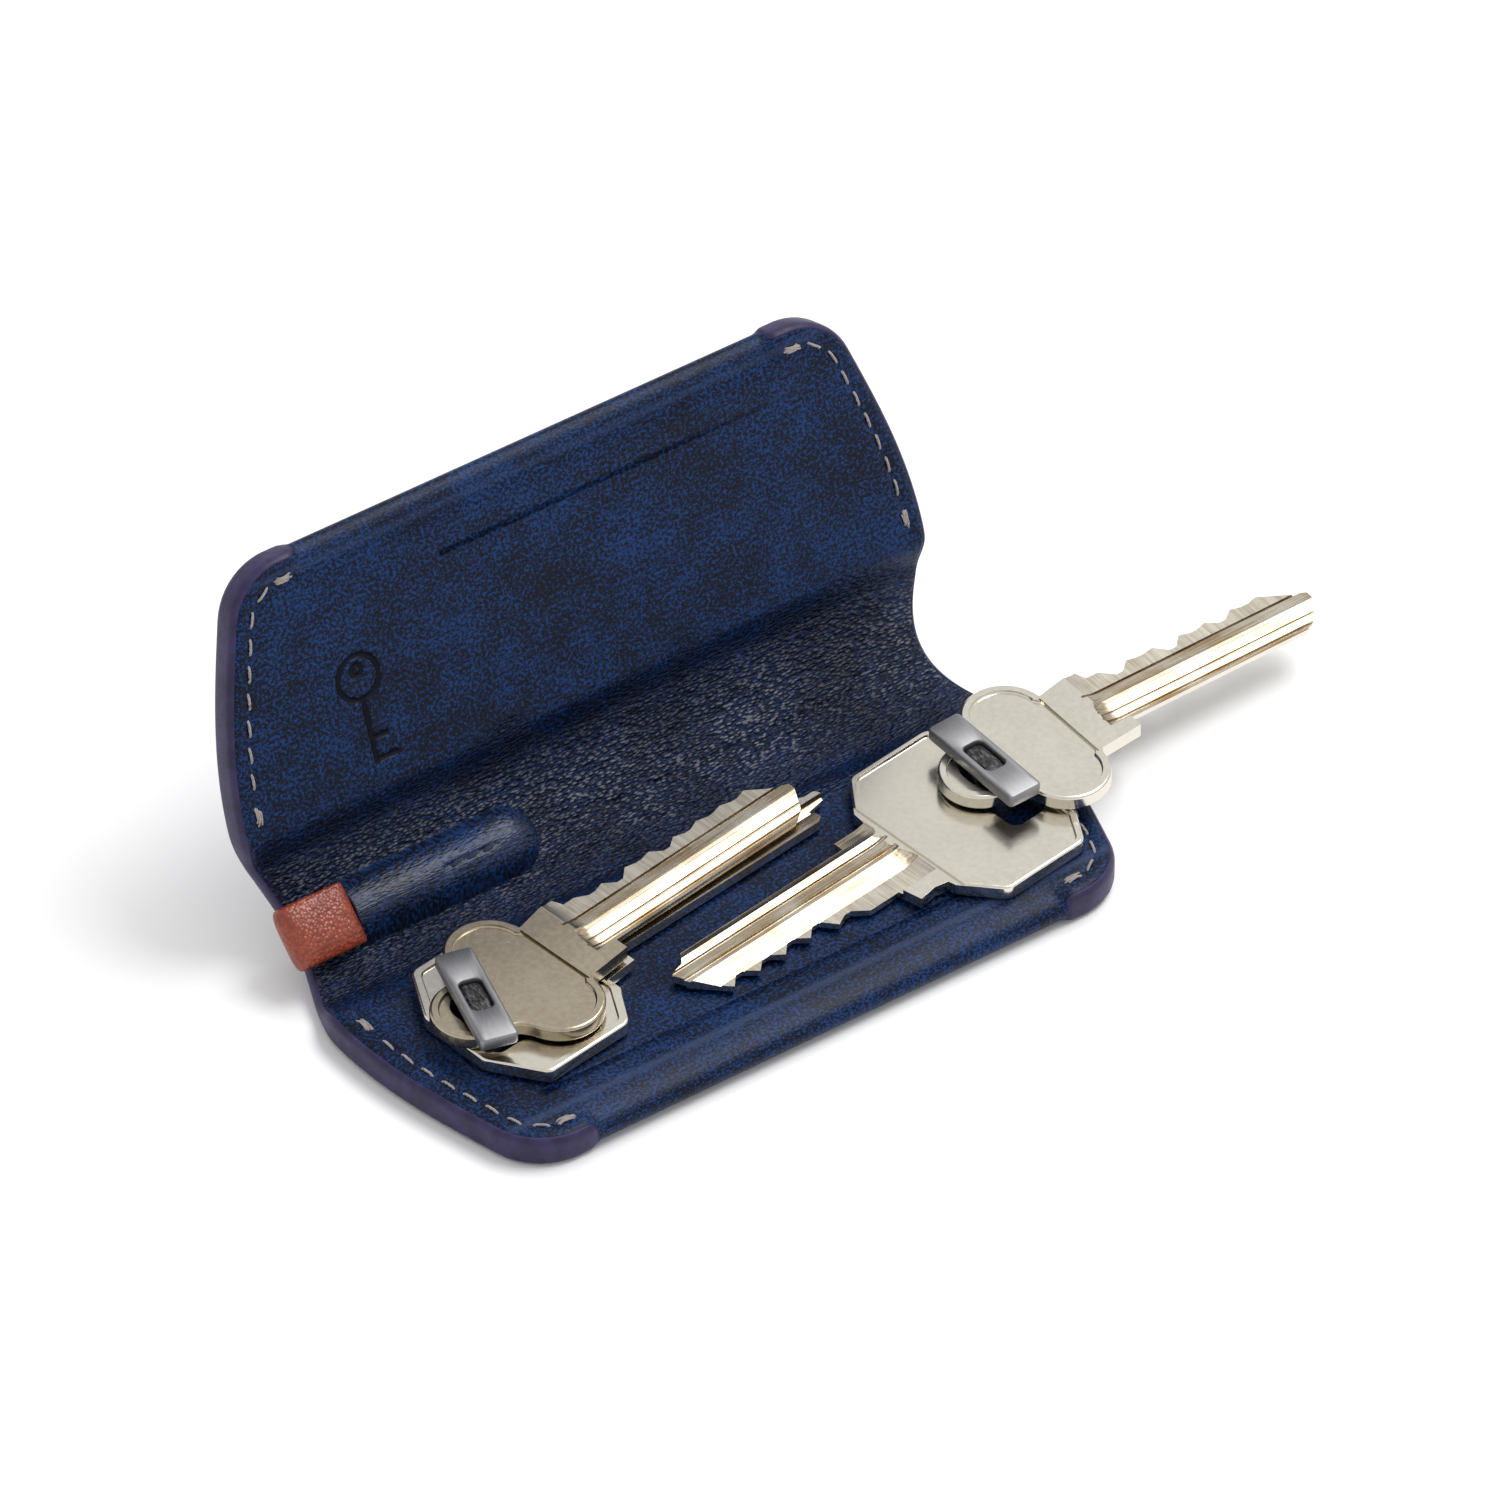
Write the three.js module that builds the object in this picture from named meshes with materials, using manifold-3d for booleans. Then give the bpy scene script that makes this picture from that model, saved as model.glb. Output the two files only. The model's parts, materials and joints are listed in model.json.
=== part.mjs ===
import * as THREE from "three";
import { mergeVertices } from "three/addons/utils/BufferGeometryUtils.js";
import Module from "manifold-3d";

// Key organiser: a folding leather cover with two cord-and-toggle key stacks.
// Millimetres, +Z up. The base flap lies on z = 0 with the origin under its middle.
// +X runs along the spine, +Y from the front turned edge towards the spine and the lid.

const wasm = await Module();
wasm.setup();

// ---- Cover: driving dimensions ----
const FLAP_DEPTH = 35;          // stiff part of a flap, front edge to spine side
const FLAP_THICKNESS = 4.4;     // outer leather, board and lining together
const SOFT_STRIP = 5.8;         // soft leather between the stiff flap and its fold line
const SPINE_WIDTH = 10.8;       // between the two fold lines
const FOLD_HEIGHT = 2.6;        // inner face of the soft leather, where both folds turn
const SPINE_ANGLE = 42;         // spine above the table, half-open cover
const LID_ANGLE = 28;           // lid above the spine
const CORNER_RADIUS = 8.2;
const CORNER_X = 36.2;          // centre of a front corner
const SIDE_GROWTH = 4.65;       // the ends bow out by this much towards the spine
const WIDEST_T = 31.5;          // distance of the widest place from the front edge
const NECK_NARROWING = 3.85;    // the spine is narrower than the flaps on each side
const OUTER_LEATHER = 1.2;
const LINING = 1.3;
const SKIN_GAP = 0.3;           // glue line between layers
const HALF_SPAN = FLAP_DEPTH + SOFT_STRIP;            // front edge to fold line
const MID_SPINE_T = HALF_SPAN + SPINE_WIDTH / 2;
const FLAP_FRONT_Y = -FLAP_DEPTH / 2;
const THREAD_INSET = 2.6;
const THREAD_RADIUS = 0.25;
const THREAD_DEPTH = 0.27;      // thread centre below the leather's face, in its own groove
const GROOVE_RADIUS = 0.6;
const THREAD_END_T = 31;

// ---- Key stacks ----
const STACK_X = 36.4;           // cord centres, left and right of the middle
const STACK_Y = 3.4;
const KEY_THICKNESS = 2.0;
const CUT_FLAT = 0.5;           // half the flat at the bottom of each cut in a blade
const CREST_SHARE = 0.5;        // how far the crests between cuts are worn, of the shallower cut
const LOWER_KEY_Z = FLAP_THICKNESS + 0.1;
const UPPER_KEY_Z = LOWER_KEY_Z + KEY_THICKNESS + 0.1;
const TOGGLE_Z = UPPER_KEY_Z + KEY_THICKNESS + 0.15;
const TOGGLE = { length: 16, width: 4.7, thickness: 1.7, windowLength: 5.4, windowWidth: 2.9 };
const CORD = { width: 4.2, thickness: 2.1 };
const ANCHOR = { length: 10, width: 6 };
const TOGGLE_TURN = { left: -14, right: 2.5 };       // degrees from straight across the key

const rad = THREE.MathUtils.degToRad;

// ---- Materials ----
const standard = (color, roughness, metalness) =>
  new THREE.MeshStandardMaterial({ color, roughness, metalness });
const blueLeather = () => standard(0x1c2a5e, 0.45, 0);
const softLeather = () => standard(0x24294a, 0.4, 0);
const tanLeather = () => standard(0x96472a, 0.4, 0);
const threadTaupe = () => standard(0xb9ab9c, 0.8, 0);
const threadBlue = () => standard(0x141c3c, 0.7, 0);
const boardGrey = () => standard(0x6e6a62, 0.9, 0);
const magnetNickel = () => standard(0xa8a8aa, 0.35, 1);
const keyNickel = () => standard(0xc9c3b2, 0.3, 1);
const toggleSteel = () => standard(0xb4b6b8, 0.35, 1);
const cordBlack = () => standard(0x151516, 0.85, 0);

// ---- Solids ----
const unindexed = (geometry) => (geometry.index ? geometry.toNonIndexed() : geometry.clone());

function solidOf(geometry) {
  const bare = unindexed(geometry);
  bare.deleteAttribute("normal");
  bare.deleteAttribute("uv");
  const merged = mergeVertices(bare, 1e-4);
  return new wasm.Manifold(
    new wasm.Mesh({
      numProp: 3,
      vertProperties: new Float32Array(merged.attributes.position.array),
      triVerts: new Uint32Array(merged.index.array),
    }),
  );
}

function geometryOf(solid) {
  const mesh = solid.getMesh();
  const geometry = new THREE.BufferGeometry();
  geometry.setAttribute("position", new THREE.BufferAttribute(mesh.vertProperties, 3));
  geometry.setIndex(new THREE.BufferAttribute(mesh.triVerts, 1));
  return geometry;
}

const cut = (geometry, ...tools) =>
  geometryOf(tools.reduce((solid, tool) => solid.subtract(solidOf(tool)), solidOf(geometry)));
const common = (a, b) => geometryOf(solidOf(a).intersect(solidOf(b)));

// A flat shape in X and Y made thick from z0 to z1.
function slab(shape, z0, z1) {
  const geometry = new THREE.ExtrudeGeometry(shape, {
    depth: z1 - z0,
    bevelEnabled: false,
    curveSegments: 8,
  });
  return geometry.translate(0, 0, z0);
}

function box(width, depth, height, x, y, z) {
  return new THREE.BoxGeometry(width, depth, height).translate(x, y, z);
}

// A rounded rectangle centred on (x, y).
function roundedRectangle(length, width, radius, x = 0, y = 0) {
  const [a, b] = [length / 2, width / 2];
  const shape = new THREE.Shape();
  shape.absarc(x + a - radius, y - b + radius, radius, -Math.PI / 2, 0);
  shape.absarc(x + a - radius, y + b - radius, radius, 0, Math.PI / 2);
  shape.absarc(x - a + radius, y + b - radius, radius, Math.PI / 2, Math.PI);
  shape.absarc(x - a + radius, y - b + radius, radius, Math.PI, Math.PI * 1.5);
  return shape;
}

function polygon(points) {
  return new THREE.Shape(points.map(([x, y]) => new THREE.Vector2(x, y)));
}

// ---- Cover outline ----
// Half the cover's width at distance t from a flap's front edge.
function halfWidth(t, inset = 0) {
  if (t < CORNER_RADIUS) {
    const r = CORNER_RADIUS - inset;
    return CORNER_X + Math.sqrt(Math.max(0, r * r - (CORNER_RADIUS - t) ** 2));
  }
  const cornerWidth = CORNER_X + CORNER_RADIUS;
  const grown = (Math.min(t, WIDEST_T) - CORNER_RADIUS) / (WIDEST_T - CORNER_RADIUS);
  const rise = Math.sin((Math.PI / 2) * grown);
  const fall = Math.max(0, t - WIDEST_T) / (MID_SPINE_T - WIDEST_T);
  const neck = (1 - Math.cos(Math.PI * fall)) / 2;
  return cornerWidth + SIDE_GROWTH * rise - NECK_NARROWING * neck - inset;
}

// The cover's outline between two distances from the front edge. place turns t into a local y.
function coverOutline(from, to, inset, place) {
  const steps = [];
  if (from < CORNER_RADIUS) {
    for (let i = 0; i < 6; i += 1) {
      const angle = (i / 6) * (Math.PI / 2);
      steps.push(Math.max(from, CORNER_RADIUS - (CORNER_RADIUS - inset) * Math.cos(angle)));
    }
  }
  const first = Math.max(from, CORNER_RADIUS);
  const count = Math.max(2, Math.round((to - first) / 3));
  for (let i = 0; i <= count; i += 1) steps.push(first + ((to - first) * i) / count);
  const right = steps.map((t) => [halfWidth(t, inset), place(t)]);
  const left = right.map(([x, y]) => [-x, y]).reverse();
  const points = [...right, ...left];
  return polygon(THREE.ShapeUtils.isClockWise(polygon(points).getPoints()) ? points.reverse() : points);
}

// A side profile in (local y, z) swept along X over the whole cover.
function sweptProfile(points) {
  const length = 120;
  const geometry = new THREE.ExtrudeGeometry(polygon(points), { depth: length, bevelEnabled: false });
  const toYZ = new THREE.Matrix4().makeBasis(
    new THREE.Vector3(0, 1, 0),
    new THREE.Vector3(0, 0, 1),
    new THREE.Vector3(1, 0, 0),
  );
  return geometry.applyMatrix4(toYZ).translate(-length / 2, 0, 0);
}

// ---- Flap layers ----
// Both flaps are the same layered shell. place turns distance from the front edge into a local y,
// and z0 is the underside's local height.
function flapOuterLeather(place, z0) {
  const r = FLAP_THICKNESS / 2;
  const lip = 3.1;
  const wall = OUTER_LEATHER;
  const end = HALF_SPAN - SKIN_GAP;
  const profile = [[end, 0]];
  const segments = 8;
  for (let i = 0; i <= segments; i += 1) {
    const angle = -Math.PI / 2 - (Math.PI * i) / segments;
    profile.push([r + r * Math.cos(angle), r + r * Math.sin(angle)]);
  }
  profile.push([lip, FLAP_THICKNESS], [lip, FLAP_THICKNESS - wall], [wall + 0.8, r + 0.6]);
  profile.push([wall + 0.8, r - 0.6], [lip, wall], [end, wall]);
  const swept = sweptProfile(profile.map(([t, z]) => [place(t), z0 + z]));
  const outline = coverOutline(0, HALF_SPAN, 0, place);
  return common(facingOut(swept), slab(outline, z0 - 1, z0 + FLAP_THICKNESS + 1));
}

function flapLining(place, z0) {
  const top = FLAP_THICKNESS;
  const under = top - LINING;
  const softTop = FOLD_HEIGHT;
  const softUnder = OUTER_LEATHER + SKIN_GAP;
  const end = HALF_SPAN - SKIN_GAP;
  const profile = [
    [3.4, under],
    [3.4, top],
    [FLAP_DEPTH - 1, top],
    [FLAP_DEPTH + 2, softTop],
    [end, softTop],
    [end, softUnder],
    [FLAP_DEPTH + 1.2, softUnder],
    [FLAP_DEPTH - 1.4, under],
  ];
  const swept = sweptProfile(profile.map(([t, z]) => [place(t), z0 + z]));
  const outline = coverOutline(3.2, HALF_SPAN, 0, place);
  return common(facingOut(swept), slab(outline, z0, z0 + top + 1));
}

// Turns a swept solid's faces outwards when its profile ran the other way round.
function facingOut(geometry) {
  const flat = unindexed(geometry);
  const p = flat.attributes.position;
  const [a, b, c] = [new THREE.Vector3(), new THREE.Vector3(), new THREE.Vector3()];
  let volume = 0;
  for (let i = 0; i < p.count; i += 3) {
    a.fromBufferAttribute(p, i);
    b.fromBufferAttribute(p, i + 1);
    c.fromBufferAttribute(p, i + 2);
    volume += a.dot(b.cross(c));
  }
  if (volume > 0) return flat;
  const swap = new THREE.Vector3();
  for (let i = 0; i < p.count; i += 3) {
    swap.fromBufferAttribute(p, i);
    a.fromBufferAttribute(p, i + 1);
    p.setXYZ(i, a.x, a.y, a.z);
    p.setXYZ(i + 1, swap.x, swap.y, swap.z);
  }
  return flat;
}

const BOARD_UNDER = OUTER_LEATHER + SKIN_GAP;
const BOARD_TOP = FLAP_THICKNESS - LINING - SKIN_GAP;

function flapBoard(place, z0, ...tools) {
  const board = slab(coverOutline(9.6, FLAP_DEPTH - 2.6, 1.2, place), z0 + BOARD_UNDER, z0 + BOARD_TOP);
  return tools.length ? cut(board, ...tools) : board;
}

function flapMagnet(side, place, z0) {
  const shape = roundedRectangle(16, 4.4, 0.8, side * 22, place(6.6));
  return slab(shape, z0 + BOARD_UNDER, z0 + BOARD_TOP);
}

// The line of one stitched row, round the front corner and along the flap's end, as a round
// bar of the given radius: the thread itself, or the groove that it is pulled into.
function flapThread(side, place, height, radius) {
  const points = [new THREE.Vector3(side * (CORNER_X - 1.8), place(THREAD_INSET), height)];
  const r = CORNER_RADIUS - THREAD_INSET;
  for (let i = 0; i <= 4; i += 1) {
    const angle = (i / 4) * (Math.PI / 2);
    const t = CORNER_RADIUS - r * Math.cos(angle);
    points.push(new THREE.Vector3(side * (CORNER_X + r * Math.sin(angle)), place(t), height));
  }
  for (let i = 1; i <= 4; i += 1) {
    const t = CORNER_RADIUS + ((THREAD_END_T - CORNER_RADIUS) * i) / 4;
    points.push(new THREE.Vector3(side * halfWidth(t, THREAD_INSET), place(t), height));
  }
  return tube(points, radius, 22);
}

function tube(points, radius, steps) {
  const corner = (angle) => [radius * Math.cos(angle), radius * Math.sin(angle)];
  const section = polygon(Array.from({ length: 6 }, (_, i) => corner((i * Math.PI) / 3)));
  return new THREE.ExtrudeGeometry(section, {
    steps,
    bevelEnabled: false,
    extrudePath: new THREE.CatmullRomCurve3(points),
  });
}

// ---- Spine ----
function spineSheet(z0, z1) {
  const place = (t) => t - HALF_SPAN;
  const half = coverOutline(HALF_SPAN + SKIN_GAP, MID_SPINE_T, 0, place).getPoints();
  const right = half.filter((p) => p.x > 0).sort((a, b) => a.y - b.y);
  const edge = right.map((p) => [p.x, p.y]);
  const mirrored = right.slice(0, -1).reverse().map((p) => [p.x, SPINE_WIDTH - p.y]);
  const side = [...edge, ...mirrored];
  return slab(polygon([...side, ...side.map(([x, y]) => [-x, y]).reverse()]), z0, z1);
}

// The padded pocket that the pull tab's webbing slides in: flat underneath, domed above.
const TUNNEL = { mouthX: -38.6, length: 27, width: 8.6, height: 3.2, cavityWidth: 6.4, cavityHeight: 1.3 };
const TAB_BOTTOM = 0.45;

function tabTunnel() {
  const bevel = 1.7;
  const [a, b] = [TUNNEL.length - bevel, TUNNEL.width / 2 - bevel];
  const shape = new THREE.Shape();
  shape.moveTo(-2 * bevel, -b);
  shape.lineTo(a - b, -b);
  shape.absarc(a - b, 0, b, -Math.PI / 2, Math.PI / 2);
  shape.lineTo(-2 * bevel, b);
  const dome = new THREE.ExtrudeGeometry(shape, {
    depth: TUNNEL.height - bevel,
    bevelThickness: bevel,
    bevelSize: bevel,
    bevelSegments: 4,
    curveSegments: 10,
  }).translate(TUNNEL.mouthX, SPINE_WIDTH / 2, 0);
  const under = box(60, 20, 4, TUNNEL.mouthX + 10, SPINE_WIDTH / 2, -2 + 0.15);
  const mouth = box(10, 20, 20, TUNNEL.mouthX - 5, SPINE_WIDTH / 2, 0);
  const cavityLength = TUNNEL.length - 2.4;
  const cavity = box(
    cavityLength + 2,
    TUNNEL.cavityWidth,
    TUNNEL.cavityHeight,
    TUNNEL.mouthX + cavityLength / 2 - 1,
    SPINE_WIDTH / 2,
    TAB_BOTTOM + TUNNEL.cavityHeight / 2,
  );
  return cut(dome, under, mouth, cavity);
}

// The leather pull tab, a folded loop whose fold is the outer end.
const TAB = { length: 8.8, width: 7.8, thickness: 3.4, leather: 1.0 };
function pullTab() {
  const r = TAB.thickness / 2;
  const x1 = TUNNEL.mouthX - 0.4;
  const x0 = x1 - TAB.length;
  const wall = TAB.leather;
  const outer = [[x1, 0]];
  const inner = [[x1, wall]];
  const segments = 8;
  for (let i = 0; i <= segments; i += 1) {
    const angle = -Math.PI / 2 - (Math.PI * i) / segments;
    outer.push([x0 + r + r * Math.cos(angle), r + r * Math.sin(angle)]);
    inner.push([x0 + r + (r - wall) * Math.cos(angle), r + (r - wall) * Math.sin(angle)]);
  }
  outer.push([x1, TAB.thickness]);
  inner.push([x1, TAB.thickness - wall]);
  const profile = polygon([...outer, ...inner.reverse()]);
  const loop = new THREE.ExtrudeGeometry(profile, { depth: TAB.width, bevelEnabled: false });
  loop.rotateX(Math.PI / 2).translate(0, SPINE_WIDTH / 2 + TAB.width / 2, 0.15);
  return facingOut(loop);
}

function tabWebbing() {
  const [from, to] = [TUNNEL.mouthX - 5.5, TUNNEL.mouthX + 22];
  const shape = roundedRectangle(to - from, 5.4, 1, (from + to) / 2, SPINE_WIDTH / 2);
  return slab(shape, TAB_BOTTOM + 0.85, TAB_BOTTOM + 1.2);
}

function tunnelThread() {
  const height = TUNNEL.height + 0.35;
  const points = [13.2, 16.6, 20].map((x) => new THREE.Vector3(TUNNEL.mouthX + x, SPINE_WIDTH / 2, height));
  return tube(points, THREAD_RADIUS, 6);
}

// ---- Keys ----
// In a key's own frame the cord is at the origin, the blade points to +X and the cuts face +Y.
// cuts holds [distance along the key, height of the cut edge] pairs from shoulder to tip, and
// point the outline of the blade's tip, from its plain edge round to the cuts.
function bladeOutline(key) {
  const { neckX, neckLow, neckHigh, stopX, stopHigh, stopLow, bladeLow, point, cuts } = key;
  return [
    [neckX, neckLow],
    [stopX, stopLow],
    [stopX, bladeLow],
    ...point,
    ...[...cuts].reverse(),
    [stopX + 0.2, cuts[0][1]],
    [stopX - 0.4, stopHigh],
    [stopX - 3, stopHigh - 0.4],
    [neckX, neckHigh],
  ];
}

// A row of cuts: flats at the given depths below the blade's top edge, with peaks between.
function bitting(first, pitch, top, depths) {
  const row = [[first - pitch * 0.55, top]];
  depths.forEach((depth, i) => {
    const x = first + i * pitch;
    const crest = Math.min(depth, depths[i + 1] ?? depth) * CREST_SHARE;
    row.push([x - CUT_FLAT, top - depth], [x + CUT_FLAT, top - depth], [x + pitch / 2, top - crest]);
  });
  return row;
}

// Where a circle of the given radius touches both circles from outside, on the side away from x.
function touchingCentre(a, b, radius) {
  const [ra, rb] = [a.r + radius, b.r + radius];
  const [dx, dy] = [b.x - a.x, b.y - a.y];
  const d = Math.hypot(dx, dy);
  const along = (ra * ra - rb * rb + d * d) / (2 * d);
  const off = Math.sqrt(ra * ra - along * along);
  return { x: a.x + (along * dx - off * dy) / d, y: a.y + (along * dy + off * dx) / d };
}

// A three-lobed bow: a small lobe round the hole and two wide ones beside the blade.
const TREFOIL = { end: { x: -0.6, y: 0, r: 5.1 }, lobe: { x: 7.7, y: 6.0, r: 5.4 }, blend: 3.2, front: 12.9 };
function trefoilOutline(key) {
  const { end, lobe, blend, front } = TREFOIL;
  const fillet = touchingCentre(end, lobe, blend);
  const upper = [];
  const arc = (c, r, a0, a1, n) => {
    for (let i = 0; i <= n; i += 1) {
      const a = a0 + ((a1 - a0) * i) / n;
      upper.push([c.x + r * Math.cos(a), c.y + r * Math.sin(a)]);
    }
  };
  const toLobe = Math.atan2(fillet.y - lobe.y, fillet.x - lobe.x);
  const toEnd = Math.atan2(fillet.y - end.y, fillet.x - end.x);
  const frontAngle = Math.asin(-0.1);
  arc(lobe, lobe.r, frontAngle, toLobe, 10);
  arc(fillet, blend, toLobe - Math.PI, toEnd - Math.PI, 4);
  arc(end, end.r, toEnd, Math.PI, 6);
  const lower = upper.slice(0, -1).reverse().map(([x, y]) => [x, -y]);
  const blade = bladeOutline(key);
  return polygon([...upper, ...lower, [front, key.neckLow - 0.3], ...blade]);
}

function octagonOutline(key) {
  const { rear, front, half, centre, rearCut, frontCut } = key.bow;
  const bow = [
    [front, centre + half - frontCut[1]],
    [front - frontCut[0], centre + half],
    [rear + rearCut[0], centre + half],
    [rear, centre + half - rearCut[1]],
    [rear, centre - half + rearCut[1]],
    [rear + rearCut[0], centre - half],
    [front - frontCut[0], centre - half],
    [front, centre - half + frontCut[1]],
  ];
  return polygon([...bow, ...bladeOutline(key)]);
}

// The rounded tip of a trefoil key's blade, for the given reach.
const roundPoint = (tip) => [
  [tip - 3.5, -2.3],
  [tip - 1.5, -1.1],
  [tip, 1.4],
  [tip, 2.4],
  [tip - 2.4, 3.7],
];

const KEYS = {
  left_upper_key: {
    outline: trefoilOutline, hole: [0, 0, 5.6, 6.4, 2.6], turn: 9.5, z: UPPER_KEY_Z, side: -1,
    neckX: 13, neckLow: -5.6, neckHigh: 6.2, stopX: 19.6, stopHigh: 7.4, stopLow: -5.0,
    bladeLow: -2.3, point: roundPoint(53.5), cuts: bitting(23.6, 3.9, 5.9, [0.9, 1.6, 0.7, 1.5, 1, 0.8, 0.9]),
  },
  right_upper_key: {
    outline: trefoilOutline, hole: [0, 0, 5.6, 6.4, 2.6], turn: 1.5, z: UPPER_KEY_Z, side: 1,
    neckX: 13, neckLow: -5.6, neckHigh: 6.2, stopX: 19.6, stopHigh: 7.4, stopLow: -5.0,
    bladeLow: -2.3, point: roundPoint(50.5), cuts: bitting(23.6, 3.9, 5.9, [1.6, 0.6, 1.9, 0.9, 1.5, 0.8]),
  },
  left_lower_key: {
    outline: octagonOutline, hole: [0.4, -0.6, 5.4, 11, 1.2], turn: 8.5, z: LOWER_KEY_Z, side: -1,
    bow: { rear: -4.2, front: 16, half: 12, centre: -0.6, rearCut: [4.2, 7], frontCut: [3.4, 5.2] },
    neckX: 16, neckLow: -5.4, neckHigh: 5, stopX: 20.5, stopHigh: 5.8, stopLow: -5,
    bladeLow: -2.3, cuts: bitting(26, 4.2, 5.2, [0.8, 1.7, 1.1, 2, 0.6, 1.4]),
    point: [[53, -2.3], [53.8, -1.8], [53.8, 0.2], [56.4, 0.6], [56.6, 1.4], [56.2, 2], [54.7, 2]],
  },
  right_lower_key: {
    outline: octagonOutline, hole: [0.4, 2.2, 5.4, 12.6, 1.2], turn: 188.5, z: LOWER_KEY_Z, side: 1,
    bow: { rear: -4, front: 15.2, half: 13.6, centre: 2.2, rearCut: [2.8, 4.2], frontCut: [4, 5] },
    neckX: 15.4, neckLow: -4.6, neckHigh: 9.8, stopX: 20.2, stopHigh: 9.8, stopLow: -4.6,
    bladeLow: -3.2, cuts: bitting(27.3, 4.1, 6.6, [1.5, 2.75, 2.7, 2.6, 2.8]),
    point: [[46.6, -3.2], [47.8, -1.6], [49.7, -1.2], [50, -0.7], [49.2, 1.1]],
  },
};

function keyBlank(key) {
  const shape = key.outline(key);
  const [x, y, length, width, radius] = key.hole;
  shape.holes.push(new THREE.Path(roundedRectangle(length, width, radius, x, y).getPoints(4)));
  return facingOut(slab(shape, 0, KEY_THICKNESS));
}

// ---- Cords and toggles ----
function cordLoop() {
  const top = TOGGLE_Z + TOGGLE.thickness - 0.25;
  return slab(roundedRectangle(CORD.thickness, CORD.width, 0.7), FLAP_THICKNESS - LINING, top);
}

function toggleBar() {
  const bevel = 0.35;
  const { length, width, thickness, windowLength, windowWidth } = TOGGLE;
  const shape = roundedRectangle(width - 2 * bevel, length - 2 * bevel, 0.3);
  shape.holes.push(
    new THREE.Path(roundedRectangle(windowWidth + 2 * bevel, windowLength + 2 * bevel, 1).getPoints(4)),
  );
  return new THREE.ExtrudeGeometry(shape, {
    depth: thickness - 2 * bevel,
    bevelThickness: bevel,
    bevelSize: bevel,
    bevelSegments: 1,
    curveSegments: 3,
  }).translate(0, 0, bevel);
}

function cordAnchor() {
  const shape = roundedRectangle(ANCHOR.width, ANCHOR.length, 1);
  return slab(shape, BOARD_UNDER, BOARD_TOP);
}

// ---- Assembly ----
const organiser = new THREE.Group();
const baseFlap = new THREE.Group();
const spine = new THREE.Group();
const lid = new THREE.Group();
organiser.add(baseFlap, spine);
spine.position.set(0, FLAP_FRONT_Y + HALF_SPAN, FOLD_HEIGHT);
spine.rotation.x = rad(SPINE_ANGLE);
spine.add(lid);
lid.position.set(0, SPINE_WIDTH, 0);
lid.rotation.x = rad(LID_ANGLE);

function addTo(group, name, geometry, material) {
  const mesh = new THREE.Mesh(geometry, material);
  mesh.name = name;
  group.add(mesh);
  return mesh;
}

const sides = [["left", -1], ["right", 1]];
const basePlace = (t) => FLAP_FRONT_Y + t;
const lidPlace = (t) => HALF_SPAN - t;

// Both flaps have the same layers. stacks lists where cords pass through, as { x, y, turn }.
function addFlap(group, prefix, place, z0, stacks) {
  const clearance = 0.6;
  const hole = (width, length, radius, stack) =>
    slab(roundedRectangle(width + clearance, length + clearance, radius), z0, z0 + 2 * FLAP_THICKNESS)
      .rotateZ(rad(stack.turn))
      .translate(stack.x, stack.y, 0);
  const liningTools = stacks.map((stack) => hole(CORD.thickness, CORD.width, 0.9, stack));
  const boardTools = stacks.map((stack) => hole(ANCHOR.width, ANCHOR.length, 1.2, stack));
  const threadHeight = z0 + FLAP_THICKNESS - THREAD_DEPTH;
  const grooves = sides.map(([, side]) => flapThread(side, place, threadHeight, GROOVE_RADIUS));
  addTo(group, `${prefix}_outer_leather`, cut(flapOuterLeather(place, z0), ...grooves), blueLeather());
  addTo(group, `${prefix}_stiffener_board`, flapBoard(place, z0, ...boardTools), boardGrey());
  const lining = cut(flapLining(place, z0), ...grooves, ...liningTools);
  addTo(group, `${prefix}_lining`, lining, blueLeather());
  for (const [name, side] of sides) {
    addTo(group, `${prefix}_${name}_magnet`, flapMagnet(side, place, z0), magnetNickel());
    const thread = flapThread(side, place, threadHeight, THREAD_RADIUS);
    addTo(group, `${prefix}_${name}_stitching`, thread, threadTaupe());
  }
}

const stacks = sides.map(([name, side]) => ({ x: side * STACK_X, y: STACK_Y, turn: TOGGLE_TURN[name] }));
addFlap(baseFlap, "base", basePlace, 0, stacks);
addFlap(lid, "lid", lidPlace, -FOLD_HEIGHT, []);

addTo(spine, "spine_outer_leather", spineSheet(-FOLD_HEIGHT, -FOLD_HEIGHT + OUTER_LEATHER), blueLeather());
addTo(spine, "spine_lining", spineSheet(-FOLD_HEIGHT + OUTER_LEATHER + SKIN_GAP, 0), softLeather());
addTo(spine, "tab_tunnel", tabTunnel(), softLeather());
addTo(spine, "tunnel_stitching", tunnelThread(), threadBlue());
addTo(spine, "pull_tab", pullTab(), tanLeather());
addTo(spine, "tab_webbing", tabWebbing(), cordBlack());

for (const [name, side] of sides) {
  const place = (mesh, z, turn = 0) => {
    mesh.position.set(side * STACK_X, STACK_Y, z);
    mesh.rotation.z = rad(turn);
  };
  place(addTo(organiser, `${name}_cord_anchor`, cordAnchor(), toggleSteel()), 0, TOGGLE_TURN[name]);
  place(addTo(organiser, `${name}_cord`, cordLoop(), cordBlack()), 0, TOGGLE_TURN[name]);
  place(addTo(organiser, `${name}_toggle`, toggleBar(), toggleSteel()), TOGGLE_Z, TOGGLE_TURN[name]);
}

for (const [name, key] of Object.entries(KEYS)) {
  const mesh = addTo(organiser, name, keyBlank(key), keyNickel());
  mesh.position.set(key.side * STACK_X, STACK_Y, key.z);
  mesh.rotation.z = rad(key.turn);
}

export default organiser;
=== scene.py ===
"""Looks of the key organiser: leather cover, stitching, pull tab, cords, toggles and keys."""
import json
import math
import random

import bmesh
import bpy
from mathutils import Matrix, Vector, noise


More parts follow.
